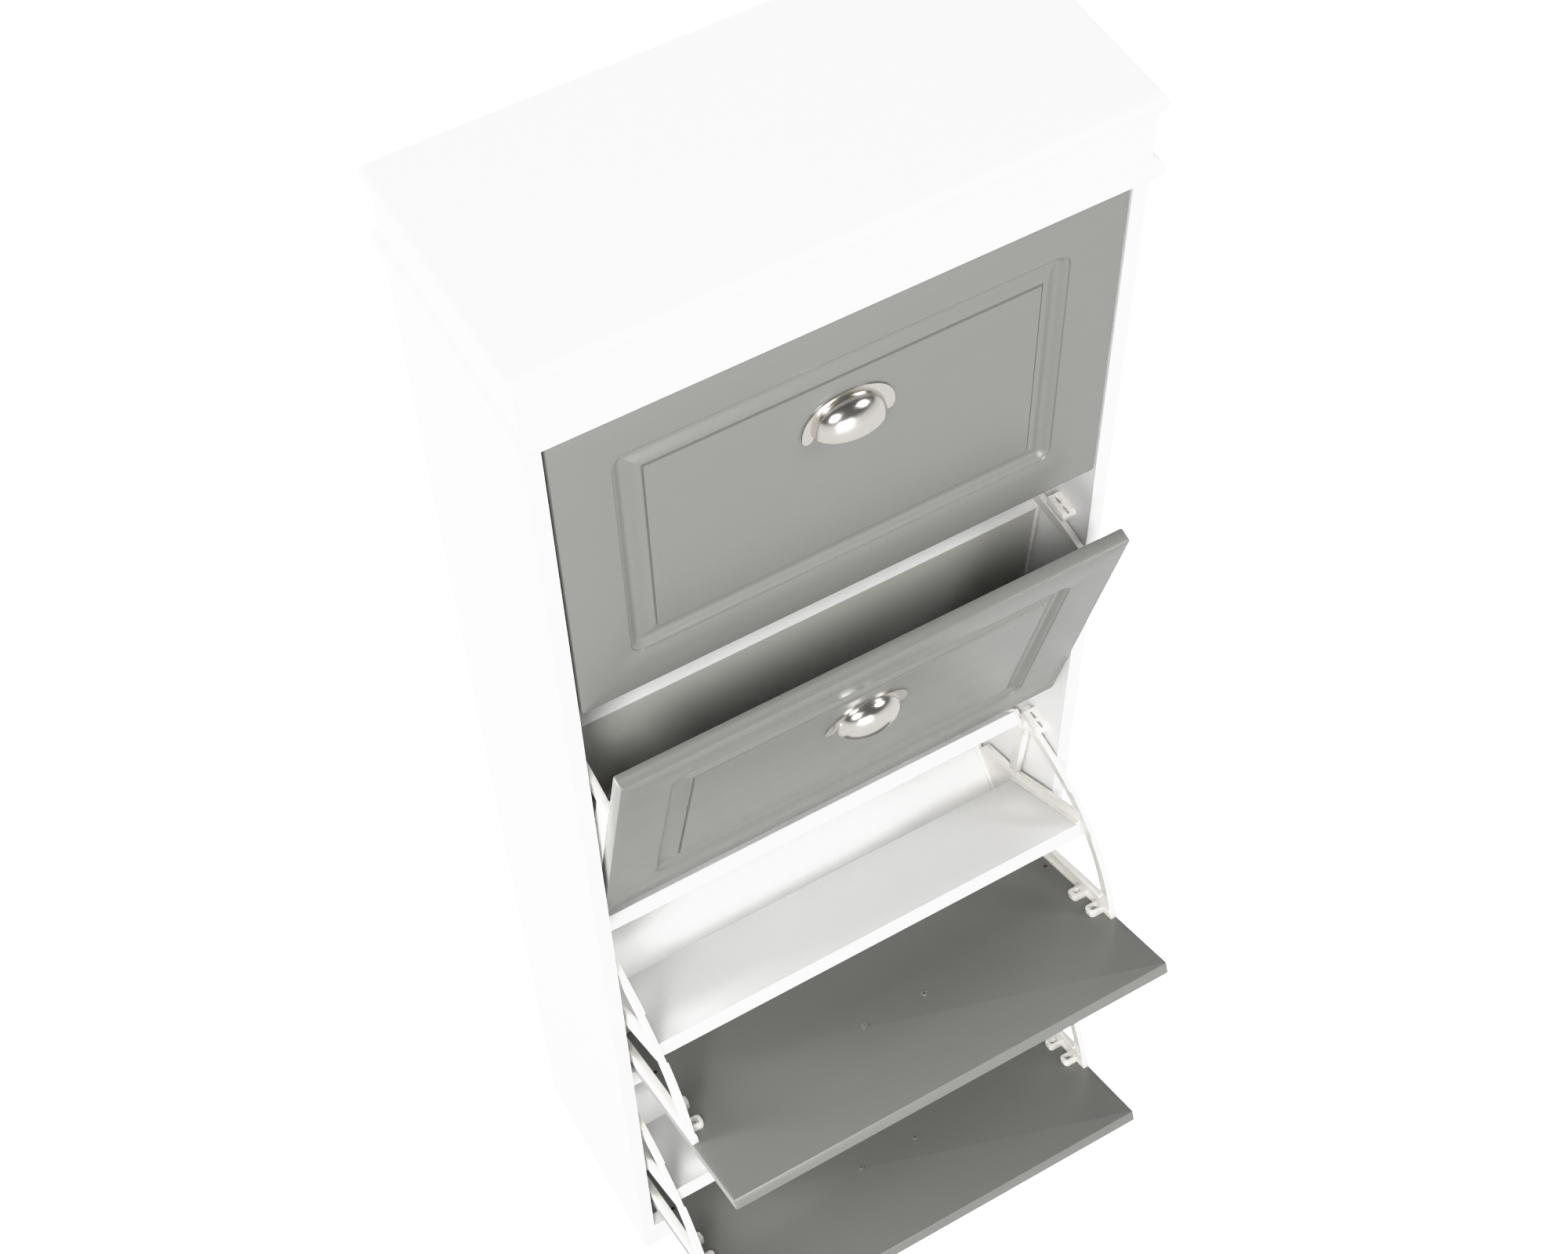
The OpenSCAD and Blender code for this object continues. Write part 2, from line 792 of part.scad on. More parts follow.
// Ribs that stand on the web: the leg's edges and the shelf channels
module rib_outline() {
    c = channel_clear;
    translate([leg_u, leg_low]) square([rib_t, leg_high - leg_low]);
    translate([leg_u + leg_w - rib_t, 14]) square([rib_t, rim_in - 14]);
    // middle shelf: a rib behind it, and a short one in front of its inner end
    strip(mid_rear + c * across(mid_lean), mid_lean, mid_len, rib_t);
    strip(mid_rear - (shelf_t + c + rib_t) * across(mid_lean) - 2 * along(mid_lean), mid_lean, 26, rib_t);
    // toe shelf: a rib above it and one below
    strip(toe_start + 12 * along(toe_lean) - (c + rib_t) * across(toe_lean), toe_lean, toe_len - 16,
        rib_t);
    strip(toe_start + (shelf_t + c) * across(toe_lean), toe_lean, toe_len - 8, rib_t);
    // rear shelf: one on each side
    strip(rear_low + 16 * along(rear_lean) - (c + rib_t) * across(rear_lean), rear_lean,
        rear_len - 40, rib_t);
    strip(rear_low + (shelf_t + c) * across(rear_lean), rear_lean, rear_len - 4, rib_t);
    // edge of the bar to the rim's rear end
    bar(node_n + [12, 12], (rim_in - 10) * along(rim_end - 3.5), rib_t);
}

// Stop nose at the rim's rear end: its face meets the stop block when the flap is open
module nose_outline() {
    rotate(-open_angle) translate([0, rim_r - 12]) square([nose_back, nose_r - rim_r + 12]);
}

module tab() {
    difference() {
        block([web_in - tab_len, front_t, -tab_h / 2], [web_in + past, front_t + tab_t, tab_h / 2]);
        // chamfered end
        for (s = [-1, 1]) translate([web_in - tab_len, front_t + tab_t, s * tab_h / 2])
            rotate([0, 45, 0])
                cube([sqrt(2) * tab_chamfer, 4 * tab_t, sqrt(2) * tab_chamfer], center = true);
        // sunk seat and hole for the screw
        translate([tab_x - tab_seat_w / 2, front_t + tab_t / 2, -tab_seat_h / 2])
            cube([tab_seat_w, tab_t, tab_seat_h]);
        translate([tab_x, front_t - past, 0]) rotate([-90, 0, 0])
            cylinder(h = tab_t + 2 * past, r = tab_hole_r);
    }
}

// Swing frame on the right; the left one is its mirror image
module swing_frame() {
    difference() {
        union() {
            plate(web_in, front_half) intersection() {
                web_outline();
                web_limit();
            }
            plate(rib_in, front_half) {
                intersection() {
                    rib_outline();
                    web_limit();
                }
                nose_outline();
                circle(boss_r);
            }
            plate(front_half - rim_edge_w + notch_w, front_half) rim_edge(rim_start, rim_end - 0.5);
            plate(front_half - rim_edge_w, front_half) {
                rim_edge(rim_start, notch_from);
                rim_edge(notch_to, rim_end - 0.5);
            }
            // foot at the upper end of the leg
            translate([front_half - rib_w, front_t + tiny, pivot_v + leg_high - 16])
                cube([rib_w, 10, 20]);
            for (v = tab_v) translate([0, tiny, v]) tab();
        }
        // clear of the shelves' ends
        shelf_space();
        // running bore
        plate(rib_in - past, front_half + past) circle(pin_r + pin_clear);
    }
}

module swing_frame_left(i) {
    color("ivory") at_flap(i) mirror([1, 0, 0]) swing_frame();
}

module swing_frame_right(i) {
    color("ivory") at_flap(i) swing_frame();
}

// ---------------------------------------------------------------- flap: shelves

shelf_half = web_in - channel_clear;

// Room that the ribs leave for the shelves, a clearance wider than each of them
module shelf_space() {
    c = channel_clear;
    plate(rib_in - past, web_in) {
        strip(mid_rear - (shelf_t + c) * across(mid_lean) - 2 * along(mid_lean), mid_lean,
            mid_len + 12, shelf_t + 2 * c);
        strip(toe_start - c * across(toe_lean) - 3 * along(toe_lean), toe_lean, toe_len + 3 + c,
            shelf_t + 2 * c);
        strip(rear_low - c * across(rear_lean) - c * along(rear_lean), rear_lean, rear_len + 12,
            shelf_t + 2 * c);
    }
}

module middle_shelf(i) {
    color("white") at_flap(i) plate(-shelf_half, shelf_half)
        strip(mid_rear - shelf_t * across(mid_lean), mid_lean, mid_len, shelf_t);
}

module toe_shelf(i) {
    color("white") at_flap(i) plate(-shelf_half, shelf_half) intersection() {
        strip(toe_start, toe_lean, toe_len - toe_trim, shelf_t);
        translate([leg_u + channel_clear, -2 * pivot_v]) square([2 * rim_r, 4 * pivot_v]);
    }
}

module rear_shelf(i) {
    color("white") at_flap(i) plate(-shelf_half, shelf_half)
        strip(rear_low, rear_lean, rear_len, shelf_t);
}

// ---------------------------------------------------------------- nodes

side_panel_left();
side_panel_right();
top_panel();
moulding_board();
frieze_front();
frieze_side_left();
frieze_side_right();
back_panel_upper();
back_panel_lower();
back_joint_strip();
back_nails();
bottom_panel();
plinth_rail();
stretcher_upper();
stretcher_middle();
pivot_pins_left();
pivot_pins_right();
stop_blocks();
dowels();
cam_locks();
cam_bolts();
front(1);  // front_1
handle(1);  // handle_1
handle_screws(1);  // handle_screws_1
swing_frame_left(1);  // swing_frame_left_1
swing_frame_right(1);  // swing_frame_right_1
middle_shelf(1);  // middle_shelf_1
rear_shelf(1);  // rear_shelf_1
toe_shelf(1);  // toe_shelf_1
frame_screws(1);  // frame_screws_1
front(2);  // front_2
handle(2);  // handle_2
handle_screws(2);  // handle_screws_2
swing_frame_left(2);  // swing_frame_left_2
swing_frame_right(2);  // swing_frame_right_2
middle_shelf(2);  // middle_shelf_2
rear_shelf(2);  // rear_shelf_2
toe_shelf(2);  // toe_shelf_2
frame_screws(2);  // frame_screws_2
front(3);  // front_3
handle(3);  // handle_3
handle_screws(3);  // handle_screws_3
swing_frame_left(3);  // swing_frame_left_3
swing_frame_right(3);  // swing_frame_right_3
middle_shelf(3);  // middle_shelf_3
rear_shelf(3);  // rear_shelf_3
toe_shelf(3);  // toe_shelf_3
frame_screws(3);  // frame_screws_3
front(4);  // front_4
handle(4);  // handle_4
handle_screws(4);  // handle_screws_4
swing_frame_left(4);  // swing_frame_left_4
swing_frame_right(4);  // swing_frame_right_4
middle_shelf(4);  // middle_shelf_4
rear_shelf(4);  // rear_shelf_4
toe_shelf(4);  // toe_shelf_4
frame_screws(4);  // frame_screws_4
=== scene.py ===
"""Tall shoe cabinet with four tilting flaps: the finished look, built on the packed frame.

Every piece is made in metres in the frame's own axes: +Z up, -Y to the front, +X to the right.
Flap pieces are first drawn in a flap's own axes (x across, u behind the face of the front,
v above its lower edge) and then turned to the flap's rest angle about its hinge.
"""

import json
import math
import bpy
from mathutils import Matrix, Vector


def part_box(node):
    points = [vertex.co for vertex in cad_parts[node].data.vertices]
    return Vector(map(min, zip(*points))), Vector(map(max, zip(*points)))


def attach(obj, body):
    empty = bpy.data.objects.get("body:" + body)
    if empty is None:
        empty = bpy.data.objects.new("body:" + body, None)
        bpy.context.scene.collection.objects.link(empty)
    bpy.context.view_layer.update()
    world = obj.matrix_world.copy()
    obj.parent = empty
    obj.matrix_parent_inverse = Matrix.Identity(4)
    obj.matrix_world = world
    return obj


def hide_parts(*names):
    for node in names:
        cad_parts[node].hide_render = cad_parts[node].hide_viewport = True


bl_info = {
    "name": "Shoe Cabinet Finish",
    "version": (1, 0, 0),
    "blender": (4, 5, 0),
    "location": "View3D > Sidebar > Shoe Cabinet",
    "description": "Builds the visible pieces, finishes and studio of a tilting-flap shoe cabinet",
    "category": "Object",
}

import bmesh
import bpy
from bpy.props import FloatProperty, FloatVectorProperty, IntProperty, PointerProperty
from mathutils import Matrix, Vector

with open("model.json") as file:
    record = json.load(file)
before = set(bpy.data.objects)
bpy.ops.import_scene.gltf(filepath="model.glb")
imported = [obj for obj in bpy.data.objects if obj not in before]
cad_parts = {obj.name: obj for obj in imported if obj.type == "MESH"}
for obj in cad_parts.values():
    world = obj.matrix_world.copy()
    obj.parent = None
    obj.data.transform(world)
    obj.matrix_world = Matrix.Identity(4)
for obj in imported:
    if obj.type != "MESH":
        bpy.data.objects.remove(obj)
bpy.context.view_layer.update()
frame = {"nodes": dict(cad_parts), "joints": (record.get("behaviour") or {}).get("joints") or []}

MM = 0.001
FLAPS = (1, 2, 3, 4)
SHELVES = ("middle_shelf", "rear_shelf", "toe_shelf")

# Flap 1 rests shut, so its front's box gives every front's size and its hinge's place in flap
# axes, to the nearest micron.
FLAP_JOINTS = {j["child"]: j for j in frame["joints"]}
front_low, front_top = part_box("front_1")
shut_pivot = Vector(FLAP_JOINTS["flap_1"]["pos_m"])
FRONT_HALF = round(front_top.x, 6)
FRONT_T = round(front_top.y - front_low.y, 6)
FRONT_H = round(front_top.z - front_low.z, 6)
PIVOT_U = round(shut_pivot.y - front_low.y, 6)
PIVOT_V = round(shut_pivot.z - front_low.z, 6)

# Places on a front: the handle's screws and mouth, the frame screws and the spare pilot holes
HANDLE_CC = 80 * MM
HANDLE_V = 245 * MM
TAB_X = 266 * MM
TAB_SCREW_V = (62 * MM, 257.65 * MM)
SPARE_HOLE_V = 150 * MM
TAB_T = 4 * MM
SEAT_GAP = 0.05 * MM

# Where the camera stands, in metres, and how it is turned about X, Y and Z, in degrees
CAMERA_PLACE = (-0.7391, -1.2283, 3.2246)
CAMERA_TURN = (35.188, 0.8745, -30.0403)


# ------------------------------------------------------------------ settings


class BoardSettings(bpy.types.PropertyGroup):
    """Sizes and colours of the white boards"""

    board_color: FloatVectorProperty(
        name="Board colour", description="Colour of the white melamine faces",
        subtype="COLOR", size=3, min=0, max=1, default=(0.86, 0.86, 0.855))
    # Painted shade: this grey stands in for the shade on the middle shelves' white front side inside
    # the flaps.
    painted_shade_color: FloatVectorProperty(
        name="Shade colour", description="Colour of the film on the middle shelves' front side",
        subtype="COLOR", size=3, min=0, max=1, default=(0.58, 0.58, 0.545))
    edge_round: FloatProperty(
        name="Edge rounding", description="Radius of the eased board edges",
        default=0.7 * MM, min=0, unit="LENGTH")
    nose_steps: IntProperty(
        name="Nose steps", description="Segments of the rounded nose of the top panel",
        default=8, min=3, max=24)
    back_color: FloatVectorProperty(
        name="Back colour", description="Colour of the thin back panels",
        subtype="COLOR", size=3, min=0, max=1, default=(0.83, 0.83, 0.82))


class FrontSettings(bpy.types.PropertyGroup):
    """Sizes and colours of the routed flap fronts"""

    paint_color: FloatVectorProperty(
        name="Paint colour", description="Colour of the satin lacquer on the fronts",
        subtype="COLOR", size=3, min=0, max=1, default=(0.170, 0.171, 0.162))
    groove_half: FloatProperty(
        name="Groove half width", description="Half the width of the routed frame's outer edge",
        default=225.5 * MM, unit="LENGTH")
    groove_low: FloatProperty(
        name="Groove lower edge", description="Height of the routed frame above the front's edge",
        default=54 * MM, unit="LENGTH")
    groove_high: FloatProperty(
        name="Groove upper edge", description="Height of the routed frame's upper edge",
        default=335 * MM, unit="LENGTH")
    groove_corner: FloatProperty(
        name="Groove corner", description="Radius of the routed frame's outer corners",
        default=15 * MM, unit="LENGTH")
    edge_round: FloatProperty(
        name="Edge rounding", description="Radius of the front's outer edges",
        default=1.6 * MM, unit="LENGTH")


class HandleSettings(bpy.types.PropertyGroup):
    """Sizes and colours of the cup handles"""

    metal_color: FloatVectorProperty(
        name="Metal colour", description="Colour of the polished nickel",
        subtype="COLOR", size=3, min=0, max=1, default=(0.72, 0.69, 0.65))
    cup_half: FloatProperty(
        name="Cup half width", description="Half the width of the cup's mouth",
        default=37 * MM, unit="LENGTH")
    cup_high: FloatProperty(
        name="Cup height", description="Height of the cup above its mouth",
        default=32 * MM, unit="LENGTH")
    cup_out: FloatProperty(
        name="Cup reach", description="How far the cup stands out from the front",
        default=24 * MM, unit="LENGTH")
    brow: FloatProperty(
        name="Brow width", description="Width of the flat brow around the cup",
        default=8.5 * MM, unit="LENGTH")


class FrameSettings(bpy.types.PropertyGroup):
    """Finish of the moulded swing frames and their stop blocks"""

    plastic_color: FloatVectorProperty(
        name="Plastic colour", description="Colour of the moulded plastic",
        subtype="COLOR", size=3, min=0, max=1, default=(0.84, 0.82, 0.79))
    mould_round: FloatProperty(
        name="Mould rounding", description="Radius of the moulded edges",
        default=0.6 * MM, min=0, unit="LENGTH")


class StudioSettings(bpy.types.PropertyGroup):
    """Floor, lights and camera"""

    floor_color: FloatVectorProperty(
        name="Floor colour", description="Colour of the floor sweep",
        subtype="COLOR", size=3, min=0, max=1, default=(0.4, 0.4, 0.4))
    sky: FloatProperty(
        name="Sky strength", description="Strength of the even white light",
        default=0.85, min=0)
    ceiling: FloatProperty(
        name="Ceiling", description="Brightness of the sky overhead as a share of the horizon",
        default=0.16, min=0, max=1)
    mirrored: FloatProperty(
        name="Mirrored ceiling", description="Brightness of the sky overhead in reflections",
        default=0.09, min=0, max=1)
    floor_glow: FloatProperty(
        name="Floor glow", description="Brightness of the floor as the camera sees it",
        default=4.0, min=0)
    floor_mirrored: FloatProperty(
        name="Mirrored floor", description="Brightness of the floor in reflections",
        default=0.95, min=0)
    top_strip: FloatProperty(
        name="Top strip", description="Power of the lamp above the top panel",
        default=32.0, min=0, unit="POWER")
    side_fill: FloatProperty(
        name="Side fill", description="Power of the lamp beside the left side panel",
        default=170.0, min=0, unit="POWER")
    key_left: FloatProperty(
        name="Left key", description="Power of the left overhead lamp",
        default=170.0, min=0, unit="POWER")
    key_right: FloatProperty(
        name="Right key", description="Power of the right overhead lamp",
        default=55.0, min=0, unit="POWER")
    front_fill: FloatProperty(
        name="Front fill", description="Power of the lamp in front",
        default=165.0, min=0, unit="POWER")
    lens: FloatProperty(
        name="Lens", description="Focal length of the camera in millimetres",
        default=58.845)


GROUPS = (
    ("cabinet_boards", BoardSettings), ("cabinet_fronts", FrontSettings),
    ("cabinet_handles", HandleSettings), ("cabinet_frames", FrameSettings),
    ("cabinet_studio", StudioSettings),
)


# ------------------------------------------------------------------ shader maths


class Sock:
    """A socket whose operators add Math nodes."""

    def __init__(self, tree, socket):
        self.tree = tree
        self.socket = socket

    def _math(self, op, a, b=None):
        n = self.tree.nodes.new("ShaderNodeMath")
        n.operation = op
        for i, v in enumerate((a, b)):
            if isinstance(v, Sock):
                self.tree.links.new(v.socket, n.inputs[i])
            elif v is not None:
                n.inputs[i].default_value = v
        return Sock(self.tree, n.outputs[0])

    def __add__(self, o):
        return self._math("ADD", self, o)

    __radd__ = __add__

    def __mul__(self, o):
        return self._math("MULTIPLY", self, o)

    __rmul__ = __mul__

    def clamp(self):
        return self._math("MINIMUM", self._math("MAXIMUM", self, 0.0), 1.0)


class Finish:
    """A material under construction, with one method that adds any node."""

    def __init__(self, name):
        self.material = bpy.data.materials.new(name)
        self.material.use_nodes = True
        self.tree = self.material.node_tree
        self.tree.nodes.clear()
        self.out = self.tree.nodes.new("ShaderNodeOutputMaterial")
        self.shader = self.tree.nodes.new("ShaderNodeBsdfPrincipled")
        self.tree.links.new(self.shader.outputs[0], self.out.inputs[0])

    def node(self, kind, settings=None, out=0, **sockets):
        n = self.tree.nodes.new(kind)
        for key, value in (settings or {}).items():
            if key == "stops":
                ramp = n.color_ramp
                while len(ramp.elements) < len(value):
                    ramp.elements.new(0.5)
                for e, (pos, col) in zip(ramp.elements, value):
                    e.position = pos
                    e.color = (*col, 1.0) if len(col) == 3 else col
            else:
                setattr(n, key, value)
        for key, value in sockets.items():
            self.feed(n.inputs[key.replace("_", " ")] if key.replace("_", " ") in n.inputs
                      else n.inputs[int(key[1:])], value)
        return Sock(self.tree, n.outputs[out])

    def feed(self, socket, value):
        if isinstance(value, Sock):
            self.tree.links.new(value.socket, socket)
        elif isinstance(value, (tuple, list)) and len(value) == 3 and socket.type == "RGBA":
            socket.default_value = (*value, 1.0)
        else:
            socket.default_value = value

    def set(self, **sockets):
        for key, value in sockets.items():
            self.feed(self.shader.inputs[key.replace("_", " ")], value)

    def place(self, scale=(1, 1, 1)):
        """Object coordinates, stretched by a scale."""
        c = self.node("ShaderNodeTexCoord", out=3)
        return self.node("ShaderNodeMapping", {}, Vector=c, Scale=scale)

    def noise(self, scale, detail=3.0, rough=0.5, stretch=(1, 1, 1)):
        return self.node("ShaderNodeTexNoise", {"noise_dimensions": "3D"}, Vector=self.place(stretch),
                         Scale=scale, Detail=detail, Roughness=rough)

    def blend(self, factor, a, b):
        n = self.tree.nodes.new("ShaderNodeMix")
        n.data_type = "RGBA"
        self.feed(n.inputs[0], factor)
        self.feed(n.inputs[6], a)
        self.feed(n.inputs[7], b)
        return Sock(self.tree, n.outputs[2])

    def bump(self, height, strength, distance, normal=None):
        n = self.tree.nodes.new("ShaderNodeBump")
        n.inputs["Strength"].default_value = strength
        n.inputs["Distance"].default_value = distance
        self.feed(n.inputs["Height"], height)
        if normal is not None:
            self.feed(n.inputs["Normal"], normal)
        return Sock(self.tree, n.outputs[0])

    def eased(self, radius):
        """Normal that rolls over the edges of a sharp-cornered board."""
        return self.node("ShaderNodeBevel", {"samples": 6}, Radius=radius)


def shade(color, k):
    return tuple(min(1.0, c * k) for c in color)


def melamine(name, color, eased=0.0, soil=0.035):
    """White melamine: a fine orange-peel emboss, faint clouding and satin gloss."""
    f = Finish(name)
    cloud = f.noise(5.0, 4.0, 0.6)
    f.set(Base_Color=f.blend(cloud, shade(color, 1 + soil * 0.4), shade(color, 1 - soil)),
          Roughness=f.noise(60.0, 2.0) * 0.10 + 0.33)
    f.set(Specular_IOR_Level=0.42)
    grain = f.noise(1400.0, 2.0, 0.6)
    f.set(Normal=f.bump(grain, 0.12, 0.00012, f.eased(eased) if eased else None))
    return f.material


def lacquer(name, color):
    """Warm grey satin lacquer: soft mottling, spray texture and slightly rubbed gloss."""
    f = Finish(name)
    cloud = f.noise(7.0, 5.0, 0.62)
    fine = f.noise(320.0, 3.0, 0.6)
    tone = f.blend(cloud, shade(color, 1.035), shade(color, 0.965))
    f.set(Base_Color=f.blend(fine * 0.5, tone, shade(color, 0.94)),
          Roughness=f.noise(30.0, 4.0) * 0.10 + 0.28)
    f.set(Specular_IOR_Level=0.4, Coat_Weight=0.18, Coat_Roughness=0.25)
    f.set(Normal=f.bump(f.noise(900.0, 2.0), 0.10, 0.00015))
    return f.material


def nickel(name, color, rough=0.13):
    """Polished nickel plate: faint buffing streaks and finger haze in the gloss."""
    f = Finish(name)
    streak = f.noise(220.0, 4.0, 0.7, (0.25, 1.0, 2.2))
    haze = f.noise(38.0, 5.0, 0.65)
    f.set(Base_Color=f.blend(haze, shade(color, 1.04), shade(color, 0.93)),
          Roughness=haze * 0.08 + streak * 0.04 + rough, Metallic=1.0)
    f.set(Normal=f.bump(streak, 0.05, 0.00008))
    return f.material


def zinc(name, color=(0.55, 0.55, 0.54)):
    """Zinc-plated steel: dull spangled plating with a grainy gloss."""
    f = Finish(name)
    spot = f.noise(500.0, 4.0, 0.7)
    f.set(Base_Color=f.blend(spot, shade(color, 1.1), shade(color, 0.75)),
          Roughness=spot * 0.2 + 0.24, Metallic=1.0)
    f.set(Normal=f.bump(f.noise(1800.0, 2.0), 0.2, 0.0001))
    return f.material


def moulded(name, color, rough=0.4):
    """Off-white moulded plastic: fine spark texture and a little flow clouding."""
    f = Finish(name)
    cloud = f.noise(18.0, 4.0, 0.6)
    f.set(Base_Color=f.blend(cloud, shade(color, 1.02), shade(color, 0.95)),
          Roughness=f.noise(90.0, 3.0) * 0.12 + rough)
    f.set(Specular_IOR_Level=0.45)
    f.set(Normal=f.bump(f.noise(1600.0, 2.0, 0.7), 0.16, 0.00012))
    return f.material


def hardboard(name, color):
    """Painted hardboard: long soft fibres under a thin white film."""
    f = Finish(name)
    fibre = f.noise(160.0, 6.0, 0.7, (1.0, 1.0, 0.18))
    f.set(Base_Color=f.blend(fibre, shade(color, 1.02), shade(color, 0.93)),
          Roughness=fibre * 0.2 + 0.42)
    f.set(Normal=f.bump(fibre, 0.2, 0.0002))
    return f.material


def beech(name):
    """Bare beech: pale brown grain along the dowel."""
    f = Finish(name)
    grain = f.noise(140.0, 6.0, 0.7, (0.15, 1.0, 1.0))
    f.set(Base_Color=f.blend(grain, (0.62, 0.44, 0.27), (0.42, 0.27, 0.14)),
          Roughness=grain * 0.2 + 0.5)
    f.set(Normal=f.bump(grain, 0.3, 0.0003))
    return f.material


def bored(name):
    """Raw board inside a drilled hole: dark brown chips."""
    f = Finish(name)
    chip = f.noise(900.0, 5.0, 0.8)
    f.set(Base_Color=f.blend(chip, (0.16, 0.09, 0.05), (0.05, 0.025, 0.015)),
          Roughness=chip * 0.2 + 0.7)
    f.set(Normal=f.bump(chip, 0.6, 0.0004))
    return f.material


FINISHES = {}


def finish(key):
    s = bpy.context.scene
    makers = {
        "board": lambda: melamine("white_melamine", s.cabinet_boards.board_color,
                                  s.cabinet_boards.edge_round),
        "board_plain": lambda: melamine("white_melamine_moulded", s.cabinet_boards.board_color),
        # painted shade: grey melamine standing in for the shade on the middle shelves' white front
        # side
        "painted_shade": lambda: melamine("painted_shade_grey", s.cabinet_boards.painted_shade_color),
        "back": lambda: hardboard("white_hardboard", s.cabinet_boards.back_color),
        "paint": lambda: lacquer("grey_lacquer", s.cabinet_fronts.paint_color),
        "bored": lambda: bored("bored_board"),
        "nickel": lambda: nickel("polished_nickel", s.cabinet_handles.metal_color),
        "zinc": lambda: zinc("zinc_plate"),
        "plastic": lambda: moulded("moulded_plastic", s.cabinet_frames.plastic_color),
        "strip": lambda: moulded("strip_plastic", s.cabinet_boards.back_color, 0.3),
        "beech": lambda: beech("beech_dowel"),
    }
    if key not in FINISHES:
        FINISHES[key] = makers[key]()
    return FINISHES[key]


# ------------------------------------------------------------------ mesh helpers


def flap_matrix(i):
    """Flap axes (x, u, v) to the frame's axes, at the flap's rest angle."""
    joint = FLAP_JOINTS[f"flap_{i}"]
    rest = -math.radians(min(joint["range_deg"]))
    pivot = Vector(joint["pos_m"])
    return (Matrix.Translation(pivot) @ Matrix.Rotation(rest, 4, "X")
            @ Matrix.Translation((0, -PIVOT_U, -PIVOT_V)))


def add_piece(name, bm, body, materials, nodes=(), smooth=35, matrix=None):
    """Turns a bmesh into a finished piece that rides on a body."""
    bmesh.ops.remove_doubles(bm, verts=bm.verts, dist=1e-6)
    if matrix is not None:
        bmesh.ops.transform(bm, matrix=matrix, verts=bm.verts)
    bmesh.ops.recalc_face_normals(bm, faces=bm.faces)
    mesh = bpy.data.meshes.new(name)
    bm.to_mesh(mesh)
    bm.free()
    return add_mesh(name, mesh, body, materials, nodes, smooth)


def add_mesh(name, mesh, body, materials, nodes=(), smooth=35):
    obj = bpy.data.objects.new(name, mesh)
    bpy.context.scene.collection.objects.link(obj)
    mesh.materials.clear()
    for m in materials:
        mesh.materials.append(m)
    if smooth:
        for p in mesh.polygons:
            p.use_smooth = True
        bpy.context.view_layer.objects.active = obj
        mesh.set_sharp_from_angle(angle=math.radians(smooth))
    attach(obj, body)
    if nodes:
        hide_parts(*nodes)
    return obj


def settle(obj):
    """Applies every modifier on an object."""
    deps = bpy.context.evaluated_depsgraph_get()
    mesh = bpy.data.meshes.new_from_object(obj.evaluated_get(deps))
    obj.modifiers.clear()
    obj.data = mesh
    return mesh


def softened(name, node, body, material, radius, steps=2):
    """A CAD node's shape with its edges rolled over: merged, flattened, then bevelled."""
    mesh = frame["nodes"][node].data.copy()
    bm = bmesh.new()
    bm.from_mesh(mesh)
    bmesh.ops.remove_doubles(bm, verts=bm.verts, dist=2e-6)
    bmesh.ops.dissolve_limit(bm, angle_limit=math.radians(0.6), verts=bm.verts, edges=bm.edges)
    bm.to_mesh(mesh)
    bm.free()
    obj = bpy.data.objects.new(name, mesh)
    bpy.context.scene.collection.objects.link(obj)
    bevel = obj.modifiers.new("edge", "BEVEL")
    bevel.width = radius
    bevel.segments = steps
    bevel.limit_method = "ANGLE"
    bevel.angle_limit = math.radians(38)
    mesh = settle(obj)
    mesh.materials.clear()
    mesh.materials.append(material)
    for p in mesh.polygons:
        p.use_smooth = True
    mesh.set_sharp_from_angle(angle=math.radians(32))
    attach(obj, body)
    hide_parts(node)
    return obj


def round_loop(half_w, low, high, corner, steps=8):
    """Corner-rounded rectangle as a loop of (x, v) points, anticlockwise from the lower right."""
    corner = max(corner, 1e-5)
    pts = []
    for cx, cz, a0 in ((half_w - corner, low + corner, -90), (half_w - corner, high - corner, 0),
                       (-half_w + corner, high - corner, 90), (-half_w + corner, low + corner, 180)):
        for k in range(steps + 1):
            a = math.radians(a0 + 90 * k / steps)
            pts.append((cx + corner * math.cos(a), cz + corner * math.sin(a)))
    return pts


def skin_loops(bm, loops, cap_first=False, cap_last=False):
    """Joins equal closed loops of 3-D points with quads."""
    rings = [[bm.verts.new(p) for p in loop] for loop in loops]
    for a, b in zip(rings, rings[1:]):
        n = len(a)
        for k in range(n):
            bm.faces.new((a[k], a[(k + 1) % n], b[(k + 1) % n], b[k]))
    if cap_first:
        bm.faces.new(list(reversed(rings[0])))
    if cap_last:
        bm.faces.new(rings[-1])
    return rings


